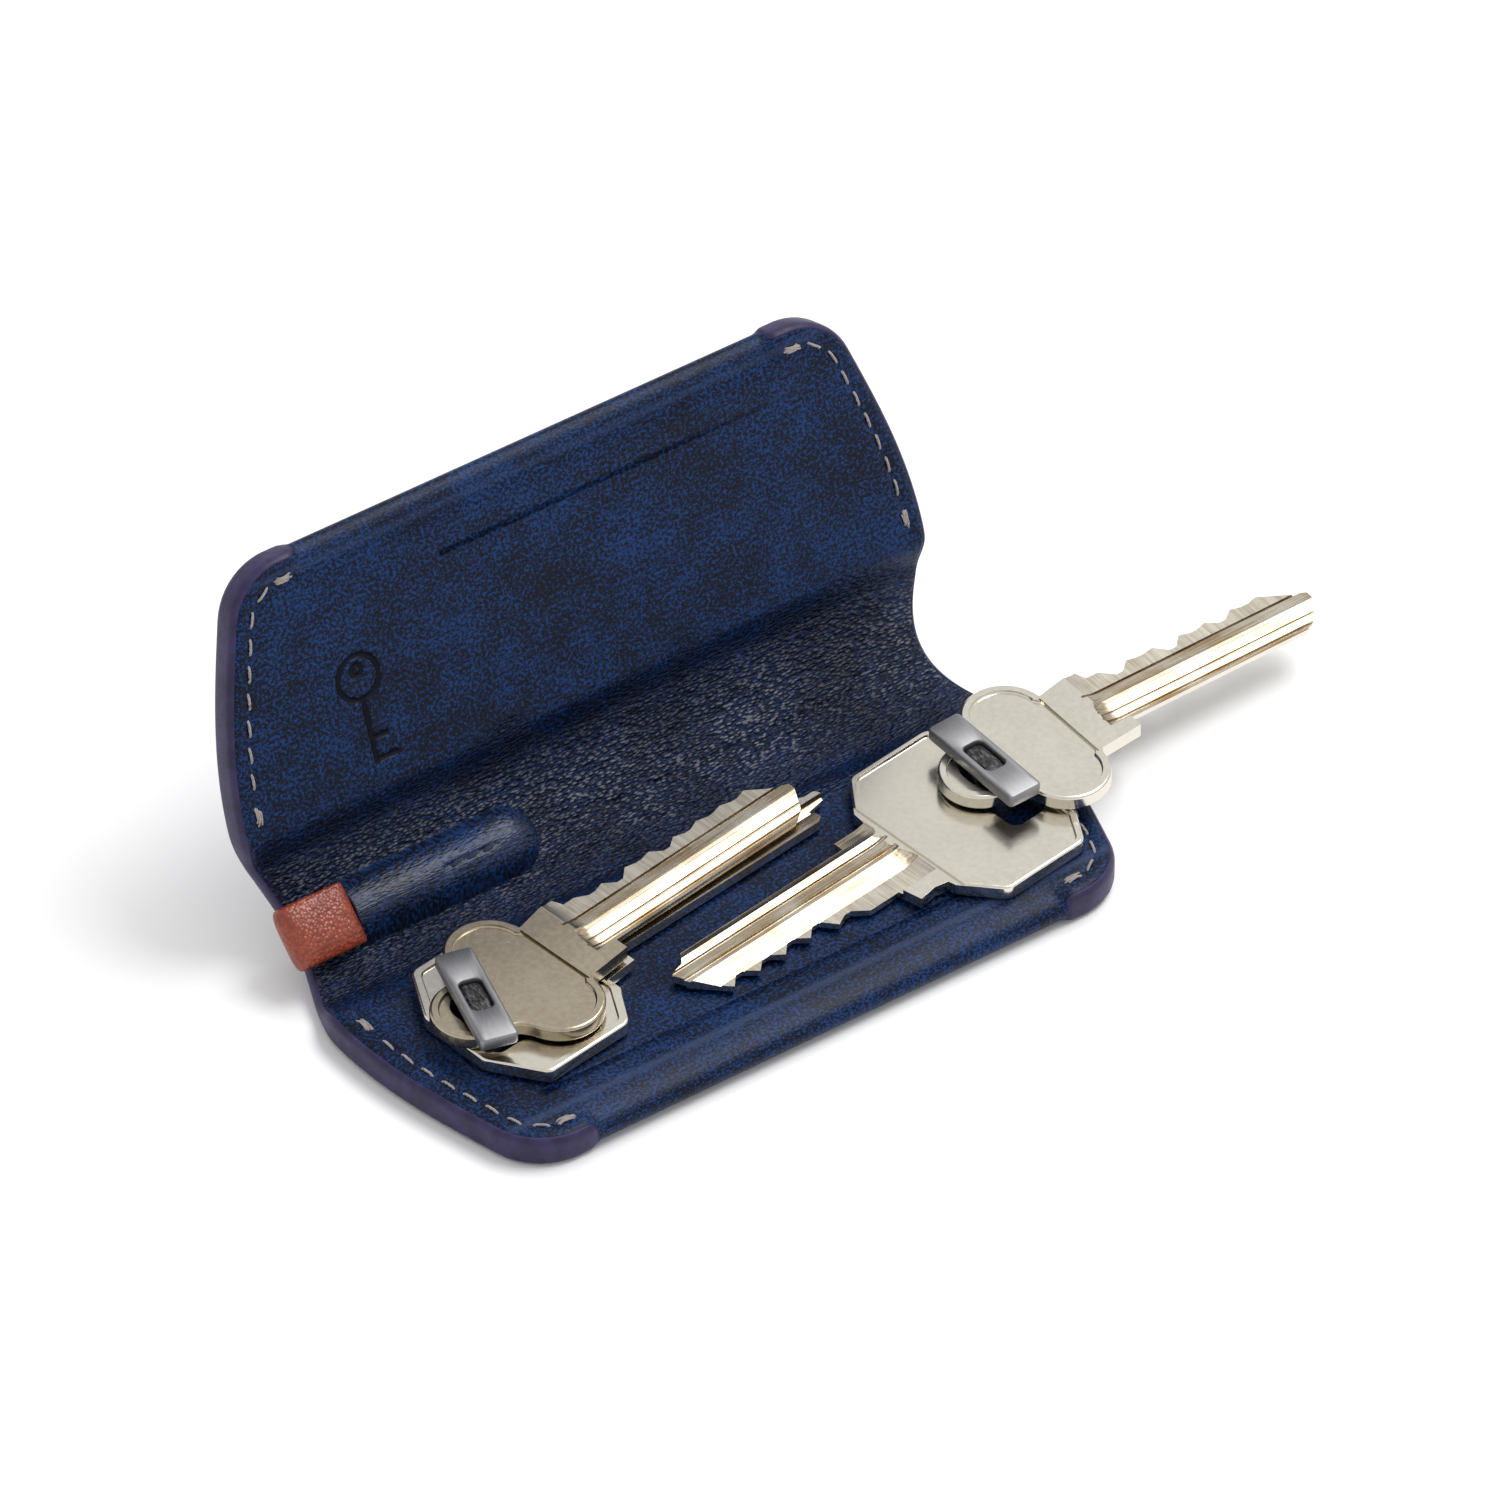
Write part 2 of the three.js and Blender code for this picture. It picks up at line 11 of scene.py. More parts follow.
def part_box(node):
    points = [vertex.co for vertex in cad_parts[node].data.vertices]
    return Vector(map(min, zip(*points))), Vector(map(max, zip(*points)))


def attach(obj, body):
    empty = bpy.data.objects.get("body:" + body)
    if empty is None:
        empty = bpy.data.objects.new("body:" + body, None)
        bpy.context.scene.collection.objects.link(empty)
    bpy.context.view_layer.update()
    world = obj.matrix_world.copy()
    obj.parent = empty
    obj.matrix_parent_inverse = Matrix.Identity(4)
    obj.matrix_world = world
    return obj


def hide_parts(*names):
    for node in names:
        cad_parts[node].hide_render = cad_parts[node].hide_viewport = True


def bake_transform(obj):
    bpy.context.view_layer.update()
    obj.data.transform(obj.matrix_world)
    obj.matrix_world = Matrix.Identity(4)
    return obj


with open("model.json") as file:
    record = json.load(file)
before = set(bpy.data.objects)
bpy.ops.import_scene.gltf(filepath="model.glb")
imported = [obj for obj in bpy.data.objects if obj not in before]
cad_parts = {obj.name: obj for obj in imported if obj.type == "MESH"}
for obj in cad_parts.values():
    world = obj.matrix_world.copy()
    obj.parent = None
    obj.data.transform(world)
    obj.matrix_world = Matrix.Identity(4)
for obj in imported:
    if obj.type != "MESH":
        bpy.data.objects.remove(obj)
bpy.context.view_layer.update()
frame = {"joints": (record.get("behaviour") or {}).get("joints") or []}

MM = 0.001

# ---- Driving dimensions, in metres, as the CAD model has them ----
FLAP_THICKNESS = 4.4 * MM
SOFT_THICKNESS = 2.6 * MM
CORNER_RADIUS = 8.2 * MM
CORNER_X = 36.2 * MM
SIDE_GROWTH = 4.65 * MM
WIDEST_T = 31.5 * MM
NECK_NARROWING = 3.85 * MM
CORNER_TURN = 0.297             # where the corner's arc runs into the side, in radians
KEY_HALF = 1.0 * MM
THREAD_INSET = 2.6 * MM
LID_TILT = math.radians(70)
SPINE_TILT = math.radians(42)

JOINTS = {joint["name"]: joint for joint in frame["joints"]}
SPINE_FOLD = Vector(JOINTS["spine_fold"]["pos_m"])
LID_FOLD = Vector(JOINTS["lid_fold"]["pos_m"])
FRONT_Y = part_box("base_outer_leather")[0].y
HALF_SPAN = SPINE_FOLD.y - FRONT_Y
SPINE_WIDTH = (LID_FOLD - SPINE_FOLD).length
WHOLE_T = 2 * HALF_SPAN + SPINE_WIDTH       # the cover laid flat, front edge to front edge


def lerp(a, b, f):
    return a + (b - a) * f


def smoothstep(value, low, high):
    f = min(1.0, max(0.0, (value - low) / (high - low)))
    return f * f * (3 - 2 * f)


def bell(value, centre, width):
    return math.exp(-((value - centre) / width) ** 2)


def rgb(red, green, blue):
    return (red, green, blue, 1.0)


# ---- Node material helpers ----
class Nodes:
    """A material's node tree, with short calls for what the materials share."""

    sockets = {"color": "Base Color", "roughness": "Roughness", "metallic": "Metallic", "normal": "Normal",
               "specular": "Specular IOR Level", "sheen": "Sheen Weight"}

    def __init__(self, name):
        self.material = bpy.data.materials.new(name)
        self.material.use_nodes = True
        self.tree = self.material.node_tree
        self.shader = self.tree.nodes["Principled BSDF"]

    def add(self, kind, inputs=None, **settings):
        node = self.tree.nodes.new(kind)
        for key, value in settings.items():
            setattr(node, key, value)
        for key, value in (inputs or {}).items():
            self.put(node.inputs[key], value)
        return node

    def put(self, socket, value):
        if isinstance(value, bpy.types.NodeSocket):
            self.tree.links.new(value, socket)
        else:
            socket.default_value = value

    def coords(self, source="Object"):
        return self.add("ShaderNodeTexCoord").outputs[source]

    def noise(self, vector, scale, detail=3.0, roughness=0.5):
        inputs = {"Vector": vector, "Scale": scale, "Detail": detail, "Roughness": roughness}
        return self.add("ShaderNodeTexNoise", inputs).outputs["Fac"]

    def cells(self, vector, scale):
        return self.add("ShaderNodeTexVoronoi", {"Vector": vector, "Scale": scale}).outputs["Distance"]

    def math(self, operation, a, b=0.0):
        node = self.add("ShaderNodeMath", operation=operation)
        self.put(node.inputs[0], a)
        self.put(node.inputs[1], b)
        return node.outputs[0]

    def times(self, a, b):
        return self.math("MULTIPLY", a, b)

    def sum(self, *terms):
        """Adds (value, factor) pairs."""
        total = None
        for value, factor in terms:
            term = self.times(value, factor)
            total = term if total is None else self.math("ADD", total, term)
        return total

    def ramp(self, value, low, high, from_value=0.0, to_value=1.0):
        """A smooth step from one value to another as the input goes from low to high."""
        inputs = {"Value": value, "From Min": low, "From Max": high,
                  "To Min": from_value, "To Max": to_value}
        return self.add("ShaderNodeMapRange", inputs, interpolation_type="SMOOTHSTEP").outputs[0]

    def mix(self, factor, a, b):
        node = self.add("ShaderNodeMix", data_type="RGBA")
        for index, value in ((0, factor), (6, a), (7, b)):
            self.put(node.inputs[index], value)
        return node.outputs[2]

    def stretch(self, vector, scale, turn=0.0):
        inputs = {"Vector": vector, "Scale": scale, "Rotation": (0.0, 0.0, turn)}
        return self.add("ShaderNodeMapping", inputs).outputs[0]

    def bump(self, height, distance, strength=1.0, normal=None):
        inputs = {"Height": height, "Distance": distance, "Strength": strength}
        node = self.add("ShaderNodeBump", inputs)
        if normal is not None:
            self.put(node.inputs["Normal"], normal)
        return node.outputs[0]

    def finish(self, **values):
        for key, value in values.items():
            self.put(self.shader.inputs[self.sockets[key]], value)
        return self.material


# ---- Materials ----
GRAIN_FADE = (0.009, 0.0155)    # distances from the cover's middle over which the pebbled grain fades out
SPINE_HIGHLIGHT_BAND = (0.001, 0.0115)     # the same for the painted highlight on the crests of that grain
# Painted highlights along the turned front edges of the base and of the lid, where the light catches each
# roll.
RIDGE_HIGHLIGHTS = ((4.7 * MM, 1, 0.5), (WHOLE_T - 2.0 * MM, -1, 0.25))    # crest, side, strength
RIDGE_RISE, RIDGE_FALL = 1.1 * MM, 0.9 * MM


def cover_leather(name, pebbled, speckled, specular, gloss, darker=0.0):
    """Navy leather with a royal blue speckle. UV is the cover laid flat, in metres.

    Over the soft middle, pebbled is the depth of the grain, whose crests get a painted highlight,
    and speckled keeps the flaps' dye there in place of that painted highlight. A painted highlight
    also runs along each turned front edge. gloss is the roughness that the rest is added to, and
    darker thins out the speckle."""
    n = Nodes(name)
    uv = n.coords("UV")
    along = n.add("ShaderNodeSeparateXYZ", {"Vector": uv}).outputs[1]
    from_middle = n.math("ABSOLUTE", n.math("SUBTRACT", along, WHOLE_T / 2))
    wander = n.times(n.math("SUBTRACT", n.noise(uv, 120, 3), 0.5), 0.012)
    spine = n.ramp(n.math("ADD", from_middle, wander), *GRAIN_FADE, 1.0, 0.0)
    cloud = n.noise(uv, 75, 3, 0.55)
    patch = n.noise(uv, 260, 3, 0.6)
    speck = n.noise(uv, 2300, 2, 0.6)
    grit = n.noise(uv, 5200, 2, 0.6)
    level = n.sum((cloud, 0.32), (patch, 0.28), (speck, 1.2), (grit, 0.6))
    blue = n.ramp(level, 1.12 + darker, 1.40 + darker)
    pebble = n.cells(n.stretch(uv, (0.55, 1.4, 1.0), 0.06), 2100)
    wrinkle = n.noise(n.stretch(uv, (0.55, 2.0, 1.0), -0.05), 850, 3, 0.65)
    grain = n.sum((pebble, -0.85), (wrinkle, 0.8))
    # Painted highlight: the grain's crests turn light grey in a band over the spine's middle, standing in
    # for the sheen of the light there.
    lit = n.times(n.ramp(grain, -0.02, 0.34), n.ramp(from_middle, *SPINE_HIGHLIGHT_BAND, 1.0, 0.0))
    painted_highlight = n.times(n.times(lit, n.ramp(cloud, 0.35, 0.6, 0.4, 1.0)), 1.0 - speckled)
    dyed = n.mix(blue, rgb(0.0015, 0.0022, 0.0070), rgb(0.0045, 0.0360, 0.1450))
    plain = n.mix(blue, rgb(0.0020, 0.0030, 0.010), rgb(0.006, 0.022, 0.082))
    # The spine's plain dye, lightened to the grey of the painted highlight on the crests.
    spine_with_painted_highlight = n.mix(painted_highlight, plain, rgb(0.19, 0.197, 0.225))
    # Painted highlight bands of lighter blue on the turned edges' crests.
    ridge_highlights = []
    for crest, side, strength in RIDGE_HIGHLIGHTS:
        rise = n.ramp(along, crest - RIDGE_RISE * side, crest, 0.0, strength)
        ridge_highlights.append(n.times(rise, n.ramp(along, crest, crest + RIDGE_FALL * side, 1.0, 0.0)))
    dyed_with_ridge_highlights = n.mix(n.math("ADD", *ridge_highlights), dyed, rgb(0.040, 0.060, 0.125))
    color = n.mix(n.times(spine, 1.0 - speckled), dyed_with_ridge_highlights, spine_with_painted_highlight)
    fine = n.noise(uv, 3000, 3, 0.6)
    smooth_skin = n.bump(fine, 0.00003, 0.5)
    depth = n.times(grain, n.ramp(spine, 0.0, 1.0, 0.04, pebbled))
    normal = n.bump(depth, 0.00034, 1.0, smooth_skin)
    rough = n.sum((cloud, 0.16), (fine, 0.14), (spine, -0.10 * pebbled), (gloss, 1.0))
    return n.finish(color=color, roughness=rough, normal=normal, specular=specular)


def grained_leather(name, dark, light, rough, scale, grain_depth, specular):
    """A plain dyed leather with a pebbled grain."""
    n = Nodes(name)
    p = n.coords()
    cells = n.cells(p, scale)
    cloud = n.noise(p, 260, 3)
    fine = n.noise(p, 4200, 2)
    tone = n.sum((cloud, 0.8), (cells, 0.5), (fine, 0.25))
    color = n.mix(n.ramp(tone, 0.5, 1.05), light, dark)
    normal = n.bump(n.sum((cells, -1.0), (fine, 0.3), (cloud, 0.6)), grain_depth, 0.9)
    roughness = n.ramp(cloud, 0.3, 0.7, rough - 0.05, rough + 0.07)
    return n.finish(color=color, roughness=roughness, normal=normal, specular=specular)


def edge_paint():
    """Satin purple-blue paint over the layered edges, slightly uneven as it is brushed on."""
    n = Nodes("edge paint")
    p = n.coords()
    cloud = n.noise(p, 420, 3)
    fine = n.noise(p, 2600, 3)
    color = n.mix(n.ramp(cloud, 0.3, 0.7), rgb(0.017, 0.012, 0.045), rgb(0.034, 0.025, 0.088))
    normal = n.bump(n.sum((cloud, 1.0), (fine, 0.2)), 0.00008, 0.5)
    return n.finish(color=color, roughness=n.ramp(fine, 0.3, 0.7, 0.4, 0.5), normal=normal, specular=0.3)


def thread(name, dark, light):
    """Twisted polyester thread."""
    n = Nodes(name)
    p = n.coords()
    strands = n.add("ShaderNodeTexWave", {"Vector": n.stretch(p, (1.0, 0.6, 0.8)), "Scale": 2600.0,
                                          "Distortion": 2.0}).outputs["Fac"]
    tone = n.sum((strands, 0.6), (n.noise(p, 1800, 2), 0.5))
    color = n.mix(n.ramp(tone, 0.2, 0.8), dark, light)
    normal = n.bump(strands, 0.00008, 0.8)
    return n.finish(color=color, roughness=n.ramp(tone, 0.2, 0.8, 0.5, 0.7), normal=normal, sheen=0.2)


def woven_cord():
    """Black elastic with a fine diagonal weave."""
    n = Nodes("black woven cord")
    p = n.coords()
    one = n.noise(n.stretch(p, (1.0, 0.35, 1.0), 0.8), 2600, 2)
    other = n.noise(n.stretch(p, (1.0, 0.35, 1.0), -0.8), 2600, 2)
    strands = n.math("MAXIMUM", one, other)
    color = n.mix(n.ramp(strands, 0.5, 0.72), rgb(0.001, 0.001, 0.0012), rgb(0.085, 0.085, 0.09))
    normal = n.bump(strands, 0.00025, 1.0)
    return n.finish(color=color, roughness=n.ramp(strands, 0.4, 0.7, 0.5, 0.3), normal=normal, specular=0.5)


def metal(name, dark, light, rough, stretch=(1.0, 1.0, 1.0), line_depth=0.000002):
    """Worn plated metal: a faint waviness, lines along one way, smudges and small spots."""
    n = Nodes(name)
    p = n.coords()
    smudge = n.noise(p, 180, 4, 0.6)
    lines = n.noise(n.stretch(p, stretch), 1300, 3, 0.6)
    spots = n.ramp(n.noise(p, 1500, 4, 0.7), 0.6, 0.72)
    tone = n.sum((smudge, 0.4), (lines, 0.6))
    color = n.mix(n.ramp(tone, 0.36, 0.64), dark, light)
    roughness = n.sum((n.ramp(tone, 0.3, 0.7, rough - 0.02, rough + 0.03), 1.0), (spots, 0.05))
    wavy = n.bump(n.noise(p, 110, 1), 0.00003, 1.0)
    normal = n.bump(lines, line_depth, 1.0, wavy)
    return n.finish(color=color, roughness=roughness, metallic=1.0, normal=normal)


def fibre_board():
    n = Nodes("fibre board")
    fibres = n.noise(n.stretch(n.coords(), (1.0, 3.0, 3.0)), 900, 4, 0.7)
    color = n.mix(n.ramp(fibres, 0.3, 0.7), rgb(0.10, 0.085, 0.07), rgb(0.22, 0.19, 0.16))
    return n.finish(color=color, roughness=0.9, normal=n.bump(fibres, 0.0001, 0.7))


def webbing():
    n = Nodes("black webbing")
    inputs = {"Vector": n.coords(), "Scale": 1400.0}
    ribs = n.add("ShaderNodeTexWave", inputs, bands_direction="Y").outputs["Fac"]
    color = n.mix(ribs, rgb(0.004, 0.004, 0.005), rgb(0.03, 0.03, 0.033))
    return n.finish(color=color, roughness=n.ramp(ribs, 0, 1, 0.6, 0.8), normal=n.bump(ribs, 0.0001, 0.8))


LEATHER = cover_leather("blue leather", 1.0, 0.0, 0.17, 0.26)
# The pressed mark's lines: darker and matt, partly the pressed leather's own tone and partly painted shade
# in the pressed lines.
PRESSED_LEATHER = cover_leather("pressed blue leather", 0.0, 0.0, 0.15, 0.35, 0.35)
TUNNEL_LEATHER = cover_leather("blue pocket leather", 0.25, 0.9, 0.45, 0.25)
EDGE_PAINT = edge_paint()
TAN = grained_leather("tan leather", rgb(0.17, 0.022, 0.008), rgb(0.31, 0.050, 0.018),
                      0.26, 2300, 0.00011, 0.6)
TAUPE_THREAD = thread("taupe thread", rgb(0.20, 0.165, 0.15), rgb(0.50, 0.44, 0.41))
NAVY_THREAD = thread("navy thread", rgb(0.003, 0.004, 0.018), rgb(0.012, 0.018, 0.075))
CORD = woven_cord()
NICKEL = metal("nickel key", rgb(0.73, 0.69, 0.60), rgb(0.77, 0.73, 0.64), 0.18)
# A darker, warmer copy of the nickel for the upper left key: painted shade and painted reflection of the
# dark lid over it. NICKEL above is the lit copy.
LID_SHADED_NICKEL = metal("lid shaded nickel key", rgb(0.42, 0.355, 0.26), rgb(0.48, 0.42, 0.325), 0.22)
CUT = metal("cut key blade", rgb(0.46, 0.41, 0.32), rgb(0.66, 0.61, 0.52), 0.30, (2.4, 0.12, 1.0), 0.00003)
DRAWN = metal("drawn key blade", rgb(0.33, 0.235, 0.125), rgb(0.56, 0.52, 0.44),
              0.25, (0.08, 2.6, 2.6), 0.000003)
STEEL = metal("satin toggle steel", rgb(0.25, 0.25, 0.26), rgb(0.30, 0.30, 0.31),
              0.46, (6.0, 0.5, 1.0), 0.000004)
MAGNET = metal("magnet plating", rgb(0.5, 0.5, 0.5), rgb(0.65, 0.65, 0.66), 0.25)


# ---- Mesh helpers ----
def piece(name, verts, faces, materials, smooth=True, uvs=None):
    mesh = bpy.data.meshes.new(name)
    mesh.from_pydata([tuple(v) for v in verts], [], faces)
    for material in materials if isinstance(materials, list) else [materials]:
        mesh.materials.append(material)
    mesh.polygons.foreach_set("use_smooth", [smooth] * len(mesh.polygons))
    if uvs is not None:
        layer = mesh.uv_layers.new(name="Leather")
        for loop in mesh.loops:
            layer.data[loop.index].uv = uvs[loop.vertex_index]
    mesh.validate()
    obj = bpy.data.objects.new(name, mesh)
    bpy.context.scene.collection.objects.link(obj)
    return obj


def tidy_mesh(obj, distance=0.000002):
    """Merges doubled vertices and turns all faces outwards."""
    mesh = bmesh.new()
    mesh.from_mesh(obj.data)
    bmesh.ops.remove_doubles(mesh, verts=mesh.verts, dist=distance)
    bmesh.ops.recalc_face_normals(mesh, faces=mesh.faces)
    mesh.to_mesh(obj.data)
    mesh.free()


def loft(rings, hollow=False):
    """Closed rings of equal length joined by quads. The ends are filled in, or joined up if hollow."""
    verts = [v for ring in rings for v in ring]
    size = len(rings[0])
    faces = [] if hollow else [list(range(size))[::-1], list(range(len(verts) - size, len(verts)))]
    for k in range(len(rings) - (0 if hollow else 1)):
        near, far = k * size, (k + 1) % len(rings) * size
        for i in range(size):
            j = (i + 1) % size
            faces.append([near + i, near + j, far + j, far + i])
    return verts, faces


def join_parts(parts):
    """One (verts, faces) of many."""
    verts, faces = [], []
    for part_verts, part_faces in parts:
        start = len(verts)
        verts.extend(part_verts)
        faces.extend([start + i for i in face] for face in part_faces)
    return verts, faces


def squared(value, power):
    """A cosine or sine turned into one of a circle pressed out towards a rectangle."""
    return math.copysign(abs(value) ** power, value)


def give(name, material):
    """Puts a material on a CAD node that stays in view."""
    obj = bpy.data.objects[name]
    for slot in obj.material_slots:
        slot.material = material


# ---- Cover shape ----
FOLD_RADIUS = 13.85 * MM        # of the inner face over the spine, half-open
FOLD_TANGENT = FOLD_RADIUS * math.tan(LID_TILT / 2)
SOFT_RISE = LID_FOLD.z - SOFT_THICKNESS
FACES_MEET_Y = LID_FOLD.y - SOFT_RISE / math.tan(LID_TILT)
BEND_START = FACES_MEET_Y - FOLD_TANGENT - FRONT_Y
BEND_END = HALF_SPAN + SPINE_WIDTH + FOLD_TANGENT - SOFT_RISE / math.sin(LID_TILT)
MID_T = (BEND_START + BEND_END) / 2
SOFT_FROM, SOFT_TO = 32.6 * MM, 37.4 * MM
LID_UP = Vector((0, math.cos(LID_TILT), math.sin(LID_TILT)))
LID_IN = Vector((0, -math.sin(LID_TILT), math.cos(LID_TILT)))


def place(x, t, z):
    """Where a point of the cover lies at rest. t runs over the cover laid flat, z up from its outer face."""
    if t <= BEND_START:
        return Vector((x, FRONT_Y + t, z))
    if t >= BEND_END:
        foot = Vector((x, FACES_MEET_Y, SOFT_THICKNESS))
        return foot + LID_UP * (FOLD_TANGENT + t - BEND_END) + LID_IN * (z - SOFT_THICKNESS)
    angle = LID_TILT * (t - BEND_START) / (BEND_END - BEND_START)
    arm = FOLD_RADIUS + SOFT_THICKNESS - z
    centre_y, centre_z = FRONT_Y + BEND_START, SOFT_THICKNESS + FOLD_RADIUS
    return Vector((x, centre_y + arm * math.sin(angle), centre_z - arm * math.cos(angle)))


SIDE_START_X = CORNER_X + CORNER_RADIUS * math.cos(CORNER_TURN)
SIDE_START_T = CORNER_RADIUS * (1 - math.sin(CORNER_TURN))
WIDEST_X = CORNER_X + CORNER_RADIUS + SIDE_GROWTH


def half_width(t):
    """Half the cover's width at distance t from a flap's front edge, beyond its rounded corner."""
    t = min(t, WHOLE_T - t)
    grown = (min(t, WIDEST_T) - SIDE_START_T) / (WIDEST_T - SIDE_START_T)
    fall = max(0.0, t - WIDEST_T) / (WHOLE_T / 2 - WIDEST_T)
    side = lerp(SIDE_START_X, WIDEST_X, math.sin(math.pi / 2 * grown))
    return side - NECK_NARROWING * (1 - math.cos(math.pi * fall)) / 2


CORNER_CENTRE_X = half_width(CORNER_RADIUS) - CORNER_RADIUS


def corner_offset(f):
    """From the corner's centre to the outline, from the side at 0 to the front edge at 1."""
    side_share = 0.22
    if f < side_share:
        t = lerp(CORNER_RADIUS, SIDE_START_T, f / side_share)
        return half_width(t) - CORNER_CENTRE_X, t - CORNER_RADIUS
    angle = lerp(CORNER_TURN, math.pi / 2, (f - side_share) / (1 - side_share))
    return CORNER_X - CORNER_CENTRE_X + CORNER_RADIUS * math.cos(angle), -CORNER_RADIUS * math.sin(angle)


def thickness(t):
    return lerp(FLAP_THICKNESS, SOFT_THICKNESS, smoothstep(t, SOFT_FROM, SOFT_TO))


def wrinkles(x, t):
    """Creases and fullness of the soft leather over the spine."""
    soft = smoothstep(min(t, WHOLE_T - t), 34.0 * MM, 38.5 * MM)
    if soft == 0:
        return 0.0
    long_folds = noise.noise(Vector((x * 45, t * 300, 3.1))) * 0.16
    folds = noise.noise(Vector((x * 120, t * 620, 8.7))) * 0.08
    small = noise.noise(Vector((x * 400, t * 1000, 1.3))) * 0.03
    return (long_folds + folds + small) * soft * MM


def segment_distance(x, t, a, b):
    ax, at, bx, bt = *a, *b
    length = (bx - ax) ** 2 + (bt - at) ** 2
    f = min(1.0, max(0.0, ((x - ax) * (bx - ax) + (t - at) * (bt - at)) / length))
    return math.hypot(x - lerp(ax, bx, f), t - lerp(at, bt, f))


def pressed_mark(x, t):
    """Depth of the plain key sign pressed into the lid's lining."""
    x, t = x / MM + 29.6, t / MM
    if abs(x) > 5 or not 13 < t < 31:
        return 0.0
    lines = [((0, 21.2), (0, 29.4)), ((0, 26.4), (2.1, 26.4)), ((0, 29.2), (2.8, 29.2))]
    near = min(segment_distance(x, t, *line) for line in lines)
    near = min(near, abs(math.hypot(x, t - 18.4) - 2.8), abs(math.hypot(x, t - 17.4) - 0.7))
    return 0.36 * MM * (1 - smoothstep(near, 0.14, 0.5))


MARK_EDGE = 0.14 * MM           # the pressed mark's darker material starts where it is this deep: partly painted shade in its lines, partly the pressed leather's own darker tone
PAINT_PROUD, PAINT_DEPTH = 0.035 * MM, 0.15 * MM


class HalfCover:
    """Rows and rings over one flap and its half of the spine. t runs from the flap's front edge."""

    arc_steps = 14
    coarse_columns = 100
    soft_from, soft_rows, stiff_rows = 34 * MM, 36, 110
    mark_columns, mark_span = 80, (0.80, 0.955)         # the finer columns across the pressed mark
    side_round = 1.25 * MM
    front_roll = {True: 5.0 * MM, False: 3.0 * MM}      # of the upper and the lower face

    def __init__(self, body, to_flat, half_length, marked):
        self.body, self.to_flat, self.marked = body, to_flat, marked
        rows, last = self.soft_rows, self.stiff_rows
        soft = [lerp(half_length, self.soft_from, i / rows) for i in range(rows)]
        stiff = [lerp(self.soft_from, CORNER_RADIUS, i / last) for i in range(last + 1)]
        self.side = soft + stiff
        self.columns = [i / self.coarse_columns for i in range(self.coarse_columns + 1)]
        if marked:
            count = self.mark_columns
            self.columns += [lerp(*self.mark_span, i / count) for i in range(count + 1)]
        self.columns.sort()
        close = [0, 0.06, 0.2, 0.42, 0.72, 1.1, 1.5, 1.9, 2.2, 2.45, 2.7, 2.95, 3.2, 3.6, 4.2, 5.0, 6.0, 7.0]
        self.rings = [d * MM for d in close] + [CORNER_RADIUS]
        self.stations = 2 * (len(self.side) + self.arc_steps - 1) + len(self.columns)

    def ring_point(self, inset, index):
        """(x, t, outward x, outward t) of a ring at one of its stations, right side to left side."""
        rows, arc = len(self.side), self.arc_steps
        if index < rows:
            t = self.side[index]
            return half_width(t) - inset, t, 1.0, 0.0
        index -= rows
        if index < arc - 1:
            outward = Vector(corner_offset((index + 1) / arc))
            x, t = Vector((CORNER_CENTRE_X, CORNER_RADIUS)) + outward * (1 - inset / CORNER_RADIUS)
            return x, t, *outward.normalized()
        index -= arc - 1
        if index < len(self.columns):
            return CORNER_CENTRE_X * (1 - 2 * self.columns[index]), inset, 0.0, -1.0
        index -= len(self.columns)
        mirrored = self.ring_point(inset, rows + arc - 2 - index)
        return -mirrored[0], mirrored[1], -mirrored[2], mirrored[3]

    def front_share(self, station):
        """0 on the painted ends and corners, 1 along the turned front edge."""
        x, _, _, out_t = self.ring_point(0.0, station)
        return (1 - smoothstep(abs(x), 33.0 * MM, 34.6 * MM)) if out_t < -0.9 else 0.0

    def pull(self, station, inset, upper):
        """How far a face draws in towards the other near the edge."""
        _, t, _, _ = self.ring_point(inset, station)
        half = thickness(t) / 2
        front = self.front_share(station)
        reach = lerp(min(self.side_round, half * 0.84), self.front_roll[upper], front)
        drop = lerp(min(self.side_round, half * 0.84), half, front)
        if inset >= reach:
            return 0.0
        return drop * (1 - math.sqrt(1 - ((reach - inset) / reach) ** 2))

    def top(self, x, t, inset):
        """Height of the inner face: turned edge, stiff flap, stitch channel, soft spine."""
        stiff = 1 - smoothstep(t, SOFT_FROM, SOFT_TO)
        height = thickness(t)
        within = smoothstep(inset, 5 * MM, 9 * MM) * stiff
        faded = smoothstep(x, -26 * MM, 4 * MM) if self.marked else 1.0
        wavy = t + 1.1 * MM * noise.noise(Vector((x * 50, 2.7, 6.1)))
        step = (0.07 if self.marked else 0.15) * smoothstep(wavy, 4.0 * MM, 7.0 * MM)
        height -= step * MM * within * faded
        height -= 0.05 * MM * bell(wavy, 6.9 * MM, 1.1 * MM) * within * faded
        end_ridge = bell(abs(x), 31.5 * MM, 2.2 * MM) * smoothstep(t, 5 * MM, 9 * MM)
        height += 0.07 * MM * end_ridge * (1 - smoothstep(t, 22 * MM, 30 * MM))
        height += 0.08 * MM * bell(t, 31.2 * MM, 1.6 * MM) * smoothstep(inset, 1 * MM, 6 * MM)
        height -= self.channel(x, t, inset) * 0.14 * MM
        if self.marked:
            height -= pressed_mark(x, t)
        return height

    def channel(self, x, t, inset):
        stitched = smoothstep(abs(x), 32.5 * MM, 35.0 * MM) * (1 - smoothstep(t, 31 * MM, 32.5 * MM))
        return bell(inset, THREAD_INSET, 0.5 * MM) * stitched

    def build(self):
        """One closed mesh of leather."""
        verts, uvs, faces = [], [], []
        rows, stations = len(self.side), self.stations

        def add(x, t, z, uv):
            verts.append(place(x, self.to_flat(t), z))
            uvs.append((uv[0], self.to_flat(uv[1])))
            return len(verts) - 1

